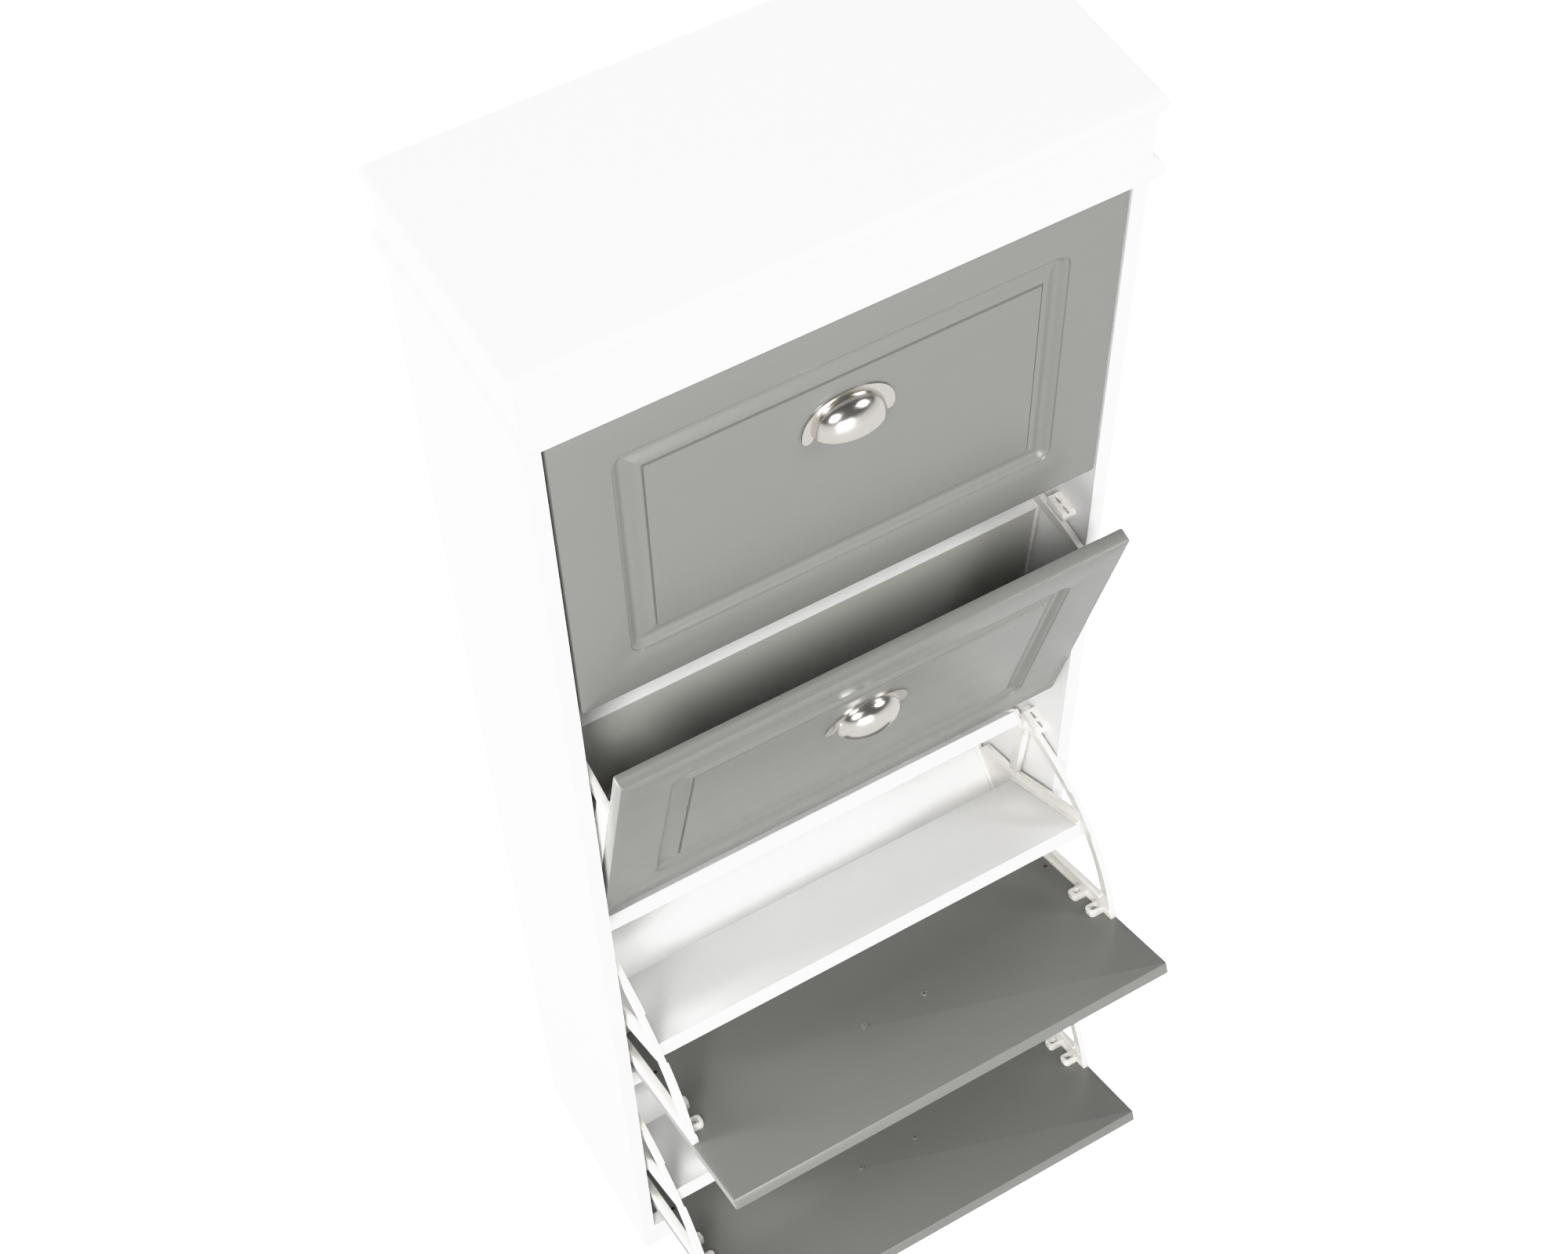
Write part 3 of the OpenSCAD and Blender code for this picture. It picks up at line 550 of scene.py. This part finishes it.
def screw_or_nail_head(name, radius, height, cross):
    """Pan head with a cross recess, around +Z, its seat at z = 0."""
    bm = bmesh.new()
    n = 20
    prof = ((radius, 0.0), (radius, height * 0.35), (radius * 0.93, height * 0.7),
            (radius * 0.72, height * 0.93), (radius * 0.5, height))
    loops = [[(r * math.cos(2 * math.pi * k / n), r * math.sin(2 * math.pi * k / n), z)
              for k in range(n)] for r, z in prof]
    rings = skin_loops(bm, loops, cap_first=True)
    if cross:
        arm, wing, deep = radius * 0.44, radius * 0.13, height * 0.7
        pts = [(arm, -wing), (arm, wing), (wing, wing), (wing, arm), (-wing, arm), (-wing, wing),
               (-arm, wing), (-arm, -wing), (-wing, -wing), (-wing, -arm), (wing, -arm),
               (wing, -wing)]
        top = [bm.verts.new((x, y, height)) for x, y in pts]
        low = [bm.verts.new((x * 0.7, y * 0.7, height - deep)) for x, y in pts]
        for k in range(12):
            bm.faces.new((top[k], top[(k + 1) % 12], low[(k + 1) % 12], low[k]))
        bm.faces.new(low)
        edges = [bm.edges.get((top[k], top[(k + 1) % 12])) for k in range(12)]
        ring = rings[-1]
        edges += [bm.edges.get((ring[k], ring[(k + 1) % n])) for k in range(n)]
        bmesh.ops.triangle_fill(bm, edges=edges, use_beauty=True)
    else:
        bm.faces.new(rings[-1])
    bmesh.ops.recalc_face_normals(bm, faces=bm.faces)
    mesh = bpy.data.meshes.new(name)
    bm.to_mesh(mesh)
    bm.free()
    return bpy.data.objects.new(name, mesh)


def fastener_tree(name, head, material):
    """Instances of a head on points, turned to each point's own direction and spun a little."""
    tree = bpy.data.node_groups.new(name, "GeometryNodeTree")
    face = tree.interface
    face.new_socket("Geometry", in_out="INPUT", socket_type="NodeSocketGeometry")
    size = face.new_socket("Head size", in_out="INPUT", socket_type="NodeSocketFloat")
    seed = face.new_socket("Seed", in_out="INPUT", socket_type="NodeSocketInt")
    face.new_socket("Geometry", in_out="OUTPUT", socket_type="NodeSocketGeometry")
    new = tree.nodes.new
    link = tree.links.new
    gin, gout = new("NodeGroupInput"), new("NodeGroupOutput")
    info = new("GeometryNodeObjectInfo")
    info.inputs["Object"].default_value = head
    aim = new("GeometryNodeInputNamedAttribute")
    aim.data_type = "FLOAT_VECTOR"
    aim.inputs["Name"].default_value = "aim"
    align = new("FunctionNodeAlignRotationToVector")
    align.axis = "Z"
    spin = new("FunctionNodeRandomValue")
    spin.data_type = "FLOAT"
    spin.inputs[2].default_value = 0.0
    spin.inputs[3].default_value = math.pi
    turn = new("FunctionNodeAxisAngleToRotation")
    turn.inputs["Axis"].default_value = (0, 0, 1)
    both = new("FunctionNodeRotateRotation")
    both.rotation_space = "LOCAL"
    put = new("GeometryNodeInstanceOnPoints")
    real = new("GeometryNodeRealizeInstances")
    paint = new("GeometryNodeSetMaterial")
    paint.inputs["Material"].default_value = material
    link(aim.outputs[0], align.inputs["Vector"])
    link(gin.outputs["Seed"], spin.inputs["Seed"])
    link(spin.outputs[1], turn.inputs["Angle"])
    link(align.outputs[0], both.inputs[0])
    link(turn.outputs[0], both.inputs[1])
    link(gin.outputs["Geometry"], put.inputs["Points"])
    link(info.outputs["Geometry"], put.inputs["Instance"])
    link(both.outputs[0], put.inputs["Rotation"])
    link(gin.outputs["Head size"], put.inputs["Scale"])
    link(put.outputs[0], real.inputs[0])
    link(real.outputs[0], paint.inputs["Geometry"])
    link(paint.outputs[0], gout.inputs[0])
    return tree, size.identifier, seed.identifier


def fasteners(name, places, body, head, material, seed, size=1.0, nodes=()):
    """One plain mesh of fastener heads at (point, direction) places."""
    tree, size_id, seed_id = fastener_tree(f"{name}_nodes", head, material)
    mesh = bpy.data.meshes.new(name)
    mesh.from_pydata([p for p, _ in places], [], [])
    aim = mesh.attributes.new("aim", "FLOAT_VECTOR", "POINT")
    for k, (_, d) in enumerate(places):
        aim.data[k].vector = d
    obj = bpy.data.objects.new(name, mesh)
    bpy.context.scene.collection.objects.link(obj)
    mod = obj.modifiers.new("heads", "NODES")
    mod.node_group = tree
    mod[size_id] = size
    mod[seed_id] = seed
    mesh = settle(obj)
    if not mesh.polygons:
        raise RuntimeError(f"{name} has no faces")
    for p in mesh.polygons:
        p.use_smooth = True
    mesh.set_sharp_from_angle(angle=math.radians(32))
    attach(obj, body)
    if nodes:
        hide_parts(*nodes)
    return obj


# ------------------------------------------------------------------ operators


class CABINET_OT_studio(bpy.types.Operator):
    """Makes the floor, the even studio light and the camera"""

    bl_idname = "cabinet.studio"
    bl_label = "Studio"

    def execute(self, context):
        s = context.scene.cabinet_studio
        scene = context.scene
        scene.view_settings.view_transform = "Standard"
        self.tone(scene.view_settings)
        floor = Finish("studio_floor")
        floor.set(Base_Color=floor.blend(floor.noise(3.0), tuple(s.floor_color),
                                         shade(s.floor_color, 0.995)), Roughness=0.9)
        seen = floor.node("ShaderNodeLightPath")
        mirrored = floor.node("ShaderNodeLightPath", out=3)
        share = s.floor_mirrored / s.floor_glow
        glow = floor.node("ShaderNodeEmission", Strength=s.floor_glow,
                          Color=floor.blend(seen, (share, share, share), (1, 1, 1)))
        mix = floor.node("ShaderNodeMixShader", i0=(seen + mirrored).clamp(),
                         i1=Sock(floor.tree, floor.shader.outputs[0]), i2=glow)
        floor.tree.links.new(mix.socket, floor.out.inputs[0])
        bm = bmesh.new()
        bmesh.ops.create_grid(bm, x_segments=2, y_segments=2, size=9.0)
        mesh = bpy.data.meshes.new("studio_floor")
        bm.to_mesh(mesh)
        bm.free()
        obj = bpy.data.objects.new("studio_floor", mesh)
        mesh.materials.append(floor.material)
        scene.collection.objects.link(obj)
        world = bpy.data.worlds.new("studio_sky")
        scene.world = world
        world.use_nodes = True
        self.sky(world.node_tree, s)
        self.lamp("key_left", (-2.2, -2.6, 4.2), (0, 0, 1.0), 1.4, s.key_left, (1.0, 0.99, 0.975))
        self.lamp("key_right", (2.4, -1.8, 4.0), (0, 0, 1.0), 1.2, s.key_right, (0.98, 0.99, 1.0))
        self.lamp("front_fill", (-0.6, -4.5, 1.7), (0, 0, 1.1), 2.0, s.front_fill, (1.0, 1.0, 0.99))
        self.lamp("top_strip", (0, 0.25, 4.2), (0, 0.25, 0), 2.4, s.top_strip, (1.0, 1.0, 1.0), 0.6)
        self.lamp("side_fill", (-3.0, 0.9, 0.9), (-0.3, 0.1, 0.9), 1.6, s.side_fill, (1.0, 1.0, 1.0))
        self.camera(scene, s.lens)
        return {"FINISHED"}

    def tone(self, view):
        """Lets the brightest whites roll off instead of clipping."""
        view.use_curve_mapping = True
        curves = view.curve_mapping
        curves.white_level = (3.0, 3.0, 3.0)
        curve = curves.curves[3]
        points = ((0.0, 0.0), (0.78, 0.78), (0.95, 0.915), (1.15, 0.95), (1.6, 0.968), (3.0, 1.0))
        while len(curve.points) < len(points):
            curve.points.new(0.5, 0.5)
        for spot, (level, shown) in zip(curve.points, points):
            spot.location = (level / 3.0, shown)
            spot.handle_type = "VECTOR"
        curves.update()

    def sky(self, tree, s):
        """Bright near the horizon and dimmer overhead, and darker still where metal mirrors it."""
        back = tree.nodes["Background"]
        back.inputs[1].default_value = s.sky
        coords = tree.nodes.new("ShaderNodeTexCoord")
        split = tree.nodes.new("ShaderNodeSeparateXYZ")
        path = tree.nodes.new("ShaderNodeLightPath")
        mix = tree.nodes.new("ShaderNodeMix")
        mix.data_type = "RGBA"
        tree.links.new(coords.outputs["Generated"], split.inputs[0])
        tree.links.new(path.outputs["Is Glossy Ray"], mix.inputs[0])
        for socket, low, high, dark in ((6, 0.15, 0.50, s.ceiling), (7, 0.10, 0.34, s.mirrored)):
            ramp = tree.nodes.new("ShaderNodeValToRGB")
            first, last = ramp.color_ramp.elements
            first.position, first.color = low, (1, 1, 1, 1)
            last.position, last.color = high, (dark, dark, dark, 1)
            tree.links.new(split.outputs["Z"], ramp.inputs[0])
            tree.links.new(ramp.outputs[0], mix.inputs[socket])
        tree.links.new(mix.outputs[2], back.inputs[0])

    def lamp(self, name, at, to, size, power, color, depth=None):
        light = bpy.data.lights.new(name, "AREA")
        light.shape = "RECTANGLE"
        light.size = size
        light.size_y = depth or size
        light.energy = power
        light.color = color
        obj = bpy.data.objects.new(name, light)
        bpy.context.scene.collection.objects.link(obj)
        obj.location = at
        obj.rotation_euler = (Vector(to) - Vector(at)).to_track_quat("-Z", "Y").to_euler()

    def camera(self, scene, lens):
        cam = bpy.data.cameras.new("camera")
        cam.lens = lens
        cam.sensor_width = 36
        cam.sensor_fit = "HORIZONTAL"
        cam.clip_end = 60
        obj = bpy.data.objects.new("camera", cam)
        scene.collection.objects.link(obj)
        obj.location = CAMERA_PLACE
        obj.rotation_euler = [math.radians(turn) for turn in CAMERA_TURN]
        scene.camera = obj


class CABINET_OT_carcass(bpy.types.Operator):
    """Finishes the carcass boards and makes the profiled crown boards"""

    bl_idname = "cabinet.carcass"
    bl_label = "Carcass"

    def execute(self, context):
        s = context.scene.cabinet_boards
        for node in ("side_panel_left", "side_panel_right", "frieze_front", "frieze_side_left",
                     "frieze_side_right", "bottom_panel", "plinth_rail", "stretcher_upper",
                     "stretcher_middle"):
            self.coat(node, finish("board"))
        for node in ("back_panel_upper", "back_panel_lower"):
            self.coat(node, finish("back"))
        self.coat("back_joint_strip", finish("strip"))
        for node in ("cam_locks", "cam_bolts", "pivot_pins_left", "pivot_pins_right"):
            self.coat(node, finish("zinc"))
        self.coat("dowels", finish("beech"))
        n = s.nose_steps
        self.crown("top_panel", [(1 - math.sin(math.pi * k / n), (1 - math.cos(math.pi * k / n)) / 2)
                                 for k in range(n + 1)], 8 * MM)
        # moulding board: square below, a quarter round, then a small step below the frieze
        r, low = 9.8, 5.0
        edge = [(0.5, 0.0), (0.15, 0.15), (0.0, 0.5)]
        edge += [(r - r * math.cos(math.radians(a)), low + r * math.sin(math.radians(a)))
                 for a in range(0, 73, 8)]
        top = edge[-1][1]
        edge += [(7.55, top + 0.3), (7.65, 15.3), (7.85, 15.8), (8.3, 16.0)]
        self.crown("moulding_board", [(d / r, z / 16.0) for d, z in edge], r * MM)
        return {"FINISHED"}

    def coat(self, node, material):
        obj = frame["nodes"][node]
        obj.data.materials.clear()
        obj.data.materials.append(material)

    def crown(self, node, profile, radius):
        """A board whose front and side edges follow a profile of (inset, height) shares."""
        low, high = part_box(node)
        t = high.z - low.z
        bm = bmesh.new()
        loops = []
        for inset, up in profile:
            d = inset * radius
            x, y, c = high.x - d, low.y + d, max(3.2 * MM - d * 0.2, 0.6 * MM)
            pts = [(x, high.y), (-x, high.y)]
            for k in range(7):
                a = math.radians(180 + 90 * k / 6)
                pts.append((-x + c + c * math.cos(a), y + c + c * math.sin(a)))
            for k in range(7):
                a = math.radians(270 + 90 * k / 6)
                pts.append((x - c + c * math.cos(a), y + c + c * math.sin(a)))
            loops.append([(px, py, low.z + up * t) for px, py in pts])
        skin_loops(bm, loops, cap_first=True, cap_last=True)
        add_piece(node + "_profiled", bm, "cabinet", [finish("board_plain")],
                  (node,), smooth=40)


class CABINET_OT_fronts(bpy.types.Operator):
    """Makes the four routed fronts"""

    bl_idname = "cabinet.fronts"
    bl_label = "Fronts"

    def execute(self, context):
        s = context.scene.cabinet_fronts
        for i in FLAPS:
            self.front(i, s)
        return {"FINISHED"}

    def front(self, i, s):
        e = s.edge_round
        bm = bmesh.new()
        # (half width, low, high, corner, depth u): back edge, sides, face, then the routed frame
        rings = [(FRONT_HALF - e, e, FRONT_H - e, 2.0 * MM, FRONT_T),
                 (FRONT_HALF - 0.3 * e, 0.3 * e, FRONT_H - 0.3 * e, 2.4 * MM, FRONT_T - 0.3 * e),
                 (FRONT_HALF, 0, FRONT_H, 2.6 * MM, FRONT_T - e),
                 (FRONT_HALF, 0, FRONT_H, 2.6 * MM, e),
                 (FRONT_HALF - 0.3 * e, 0.3 * e, FRONT_H - 0.3 * e, 2.4 * MM, 0.3 * e),
                 (FRONT_HALF - e, e, FRONT_H - e, 2.0 * MM, 0)]
        gw, gl, gh, gc = s.groove_half, s.groove_low, s.groove_high, s.groove_corner
        # routed frame, as (distance inwards, depth) in mm from its outer edge
        cut = ((-0.5, 0), (-0.1, 0.1), (0.2, 0.5), (0.5, 1.2), (1.0, 1.7), (2.0, 2.0), (3.4, 2.6),
               (4.8, 3.5), (6.2, 4.6), (7.6, 5.6), (9.2, 6.2), (11.0, 6.4), (12.8, 6.2), (14.6, 5.6),
               (16.4, 4.8), (18.2, 3.9), (20.2, 3.0), (22.4, 2.2), (24.6, 1.7), (26.4, 1.5),
               (26.9, 1.55), (27.2, 2.6), (28.1, 2.7), (28.4, 1.1), (28.8, 0.2), (29.6, 0.0))
        reach, reach_top = 29.6, 28.0  # width of the band at the sides and foot, and at the top
        for d, deep in cut:
            share = max(0.0, 1 - d / 16.0)
            rings.append((gw - d * MM, gl + d * MM, gh - d * MM * reach_top / reach,
                          0.25 * MM + (gc - 0.25 * MM) * share ** 1.2, deep * MM))
        loops = [[(x, u, v) for x, v in round_loop(w, lo, hi, c)] for w, lo, hi, c, u in rings]
        skin_loops(bm, loops, cap_first=True, cap_last=True)
        obj = add_piece(f"front_{i}_routed", bm, f"flap_{i}",
                        [finish("paint"), finish("bored")], (f"front_{i}",), smooth=28,
                        matrix=flap_matrix(i))
        self.holes(obj, i)

    def holes(self, obj, i):
        """Drills the spare pilot holes into the inner face."""
        bm = bmesh.new()
        n = 20
        for side in (-1, 1):
            c = Vector((side * TAB_X, FRONT_T, SPARE_HOLE_V))
            prof = ((2.5 * MM, 0.4 * MM), (2.5 * MM, -9 * MM), (1.4 * MM, -10 * MM))
            loops = [[(c.x + r * math.cos(2 * math.pi * k / n), c.y + d,
                       c.z + r * math.sin(2 * math.pi * k / n)) for k in range(n)] for r, d in prof]
            skin_loops(bm, loops, cap_first=True, cap_last=True)
        bmesh.ops.recalc_face_normals(bm, faces=bm.faces)
        bmesh.ops.transform(bm, matrix=flap_matrix(i), verts=bm.verts)
        mesh = bpy.data.meshes.new("drill")
        bm.to_mesh(mesh)
        bm.free()
        mesh.materials.append(finish("bored"))
        drill = bpy.data.objects.new("drill", mesh)
        bpy.context.scene.collection.objects.link(drill)
        cut = obj.modifiers.new("drill", "BOOLEAN")
        cut.object = drill
        cut.operation = "DIFFERENCE"
        cut.solver = "EXACT"
        cut.material_mode = "TRANSFER"
        mesh = settle(obj)
        bpy.data.objects.remove(drill)
        mesh.set_sharp_from_angle(angle=math.radians(28))


class CABINET_OT_handles(bpy.types.Operator):
    """Makes the four cup handles"""

    bl_idname = "cabinet.handles"
    bl_label = "Cup handles"

    def execute(self, context):
        s = context.scene.cabinet_handles
        for i in FLAPS:
            self.handle(i, s)
        return {"FINISHED"}

    def handle(self, i, s):
        bm = bmesh.new()
        a, b, c = s.cup_half, s.cup_high, s.cup_out
        wall = 1.6 * MM
        nx, nz = 40, 18
        low = 5 * MM

        def dome(shrink):
            """Quarter dome: rows from the mouth's edge up to the plate, columns across."""
            rows = []
            for r in range(nz + 1):
                t = math.radians(90 * r / nz)
                row = []
                for k in range(nx + 1):
                    p = math.radians(180 * k / nx)
                    # plan: a flattened half ellipse at the mouth that rises to the brow
                    ax, ac, ab = a - shrink, c - shrink, b - shrink
                    x = -ax * math.cos(p)
                    out = ac * math.sin(p) ** 0.9 * math.cos(t) ** 0.92
                    up = ab * math.sin(t) ** 0.95 * math.sin(p) ** 0.8
                    row.append((x * (1 - 0.02 * math.sin(t)), -out - 0.2 * MM, low + up))
                rows.append(row)
            return rows

        outer = [[bm.verts.new(p) for p in row] for row in dome(0.0)]
        inner = [[bm.verts.new(p) for p in row] for row in dome(wall)]
        for grid, flip in ((outer, False), (inner, True)):
            for r in range(nz):
                for k in range(nx):
                    q = [grid[r][k], grid[r][k + 1], grid[r + 1][k + 1], grid[r + 1][k]]
                    bm.faces.new(q[::-1] if flip else q)
        for k in range(nx):
            bm.faces.new((outer[0][k], inner[0][k], inner[0][k + 1], outer[0][k + 1]))
            bm.faces.new((outer[nz][k + 1], inner[nz][k + 1], inner[nz][k], outer[nz][k]))
        self.brow(bm, s, low)
        m = flap_matrix(i) @ Matrix.Translation((0, 0, HANDLE_V))
        add_piece(f"handle_{i}_cup", bm, f"flap_{i}", [finish("nickel")],
                  (f"handle_{i}",), smooth=30, matrix=m)

    def brow(self, bm, s, low):
        """Flat crescent around the cup, raised from the front, with rounded feet."""
        a, b, w = s.cup_half, s.cup_high, s.brow
        n = 48
        ins, outs = [], []
        for k in range(n + 1):
            p = math.pi * k / n
            width = w * (0.81 + 0.19 * math.cos(2 * p)) + 0.6 * MM
            x, z = -math.cos(p), math.sin(p)
            ins.append(((a - 1.0 * MM) * x, low + (b - 1.0 * MM) * z ** 0.85))
            nx, nz = b * x, a * z
            d = math.hypot(nx, nz)
            outs.append((a * x + width * nx / d, low + b * z ** 0.85 + width * nz / d))

        def foot_arc(end_in, end_out, sign):
            """Rounded foot below one end of the crescent."""
            cx, cz = (end_in[0] + end_out[0]) / 2, (end_in[1] + end_out[1]) / 2
            r = math.hypot(end_in[0] - end_out[0], end_in[1] - end_out[1]) / 2
            pts = []
            for k in range(1, 10):
                t = math.pi * k / 10
                pts.append((cx + sign * r * math.cos(t), cz - r * 1.5 * math.sin(t)))
            return pts

        ring = outs + foot_arc(ins[n], outs[n], 1) + ins[::-1] + foot_arc(ins[0], outs[0], -1)[::-1]
        lift, thick = 0.2 * MM, 2.4 * MM

        def level(points, inset, u):
            """The outline drawn in by an inset, at a depth."""
            out = []
            count = len(points)
            for k, (x, z) in enumerate(points):
                x0, z0 = points[k - 1]
                x1, z1 = points[(k + 1) % count]
                tx, tz = x1 - x0, z1 - z0
                d = math.hypot(tx, tz) or 1.0
                out.append((x - inset * -tz / d, u, z - inset * tx / d))
            return out

        loops = [level(ring, 0, -lift), level(ring, 0, -thick + 0.9 * MM),
                 level(ring, -0.35 * MM, -thick + 0.3 * MM), level(ring, -0.9 * MM, -thick)]
        skin_loops(bm, loops, cap_first=True, cap_last=True)


class CABINET_OT_shelves(bpy.types.Operator):
    """Makes the eased inner shelves of the flaps"""

    bl_idname = "cabinet.shelves"
    bl_label = "Inner shelves"

    def execute(self, context):
        s = context.scene.cabinet_boards
        for i in FLAPS:
            for kind in SHELVES:
                obj = softened(f"{kind}_{i}_eased", f"{kind}_{i}", f"flap_{i}",
                               finish("board_plain"), s.edge_round)
                # painted shade: the front-facing side of each middle shelf gets the grey that stands
                # in for shade
                if kind == "middle_shelf":
                    self.painted_shade(obj, i)
        return {"FINISHED"}

    def painted_shade(self, obj, i):
        """Painted shade: a grey colour on the white face that looks towards the front, standing in
        for the shade inside the flap.
        """
        obj.data.materials.append(finish("painted_shade"))
        ahead = flap_matrix(i).to_3x3() @ Vector((0, -1, 0))
        for p in obj.data.polygons:
            if p.normal.dot(ahead) > 0.95:
                p.material_index = 1


class CABINET_OT_frames(bpy.types.Operator):
    """Makes the moulded swing frames and stop blocks"""

    bl_idname = "cabinet.frames"
    bl_label = "Swing frames"

    def execute(self, context):
        s = context.scene.cabinet_frames
        for i in FLAPS:
            for side in ("left", "right"):
                softened(f"swing_frame_{side}_{i}_moulded", f"swing_frame_{side}_{i}", f"flap_{i}",
                         finish("plastic"), s.mould_round)
        softened("stop_blocks_moulded", "stop_blocks", "cabinet",
                 finish("plastic"), s.mould_round)
        return {"FINISHED"}


class CABINET_OT_fasteners(bpy.types.Operator):
    """Puts the screw heads and nail heads in place"""

    bl_idname = "cabinet.fasteners"
    bl_label = "Fasteners"

    def execute(self, context):
        screw = screw_or_nail_head("pan_head", 4 * MM, 2.2 * MM, True)
        small = screw_or_nail_head("small_pan_head", 3.2 * MM, 2.0 * MM, True)
        nail = screw_or_nail_head("nail_head", 2.2 * MM, 0.8 * MM, False)
        for i in FLAPS:
            m = flap_matrix(i)
            back = (m.to_3x3() @ Vector((0, 1, 0))).normalized()
            places = [(m @ Vector((k * HANDLE_CC / 2, FRONT_T + SEAT_GAP, HANDLE_V)), back)
                      for k in (-1, 1)]
            fasteners(f"handle_screws_{i}_heads", places, f"flap_{i}", screw, finish("zinc"),
                      i, nodes=(f"handle_screws_{i}",))
            places = [(m @ Vector((k * TAB_X, FRONT_T + TAB_T + SEAT_GAP, v)), back)
                      for k in (-1, 1) for v in TAB_SCREW_V]
            fasteners(f"frame_screws_{i}_heads", places, f"flap_{i}", small, finish("zinc"),
                      10 + i, nodes=(f"frame_screws_{i}",))
        fasteners("back_nail_heads", self.nails(), "cabinet", nail, finish("zinc"),
                  40, nodes=("back_nails",))
        return {"FINISHED"}

    def nails(self):
        """Nail places: the middle of each loose part of the node of nails."""
        bm = bmesh.new()
        bm.from_mesh(frame["nodes"]["back_nails"].data)
        bmesh.ops.remove_doubles(bm, verts=bm.verts, dist=1e-6)
        seen, spots = set(), []
        for v in bm.verts:
            if v.index in seen:
                continue
            stack, part = [v], []
            while stack:
                w = stack.pop()
                if w.index in seen:
                    continue
                seen.add(w.index)
                part.append(w.co.copy())
                stack += [e.other_vert(w) for e in w.link_edges]
            x = (min(p.x for p in part) + max(p.x for p in part)) / 2
            z = (min(p.z for p in part) + max(p.z for p in part)) / 2
            y = max(p.y for p in part) - 0.8 * MM
            spots.append((Vector((x, y, z)), Vector((0, 1, 0))))
        bm.free()
        return spots


OPERATORS = (
    CABINET_OT_studio, CABINET_OT_carcass, CABINET_OT_fronts, CABINET_OT_handles,
    CABINET_OT_shelves, CABINET_OT_frames, CABINET_OT_fasteners,
)


class CABINET_PT_panel(bpy.types.Panel):
    """Lists the builders of the shoe cabinet"""

    bl_idname = "CABINET_PT_panel"
    bl_label = "Shoe Cabinet"
    bl_space_type = "VIEW_3D"
    bl_region_type = "UI"
    bl_category = "Shoe Cabinet"

    def draw(self, context):
        for op in OPERATORS:
            self.layout.operator(op.bl_idname)
        for key, group in GROUPS:
            box = self.layout.box()
            box.label(text=group.__doc__)
            for name in group.__annotations__:
                box.prop(getattr(context.scene, key), name)


CLASSES = tuple(g for _, g in GROUPS) + OPERATORS + (CABINET_PT_panel,)


def register():
    for c in CLASSES:
        bpy.utils.register_class(c)
    for key, group in GROUPS:
        setattr(bpy.types.Scene, key, PointerProperty(type=group))


def unregister():
    for key, _ in GROUPS:
        delattr(bpy.types.Scene, key)
    for c in reversed(CLASSES):
        bpy.utils.unregister_class(c)


def main():
    register()
    for op in OPERATORS:
        area, name = op.bl_idname.split(".")
        getattr(getattr(bpy.ops, area), name)()


if __name__ == "__main__":
    main()
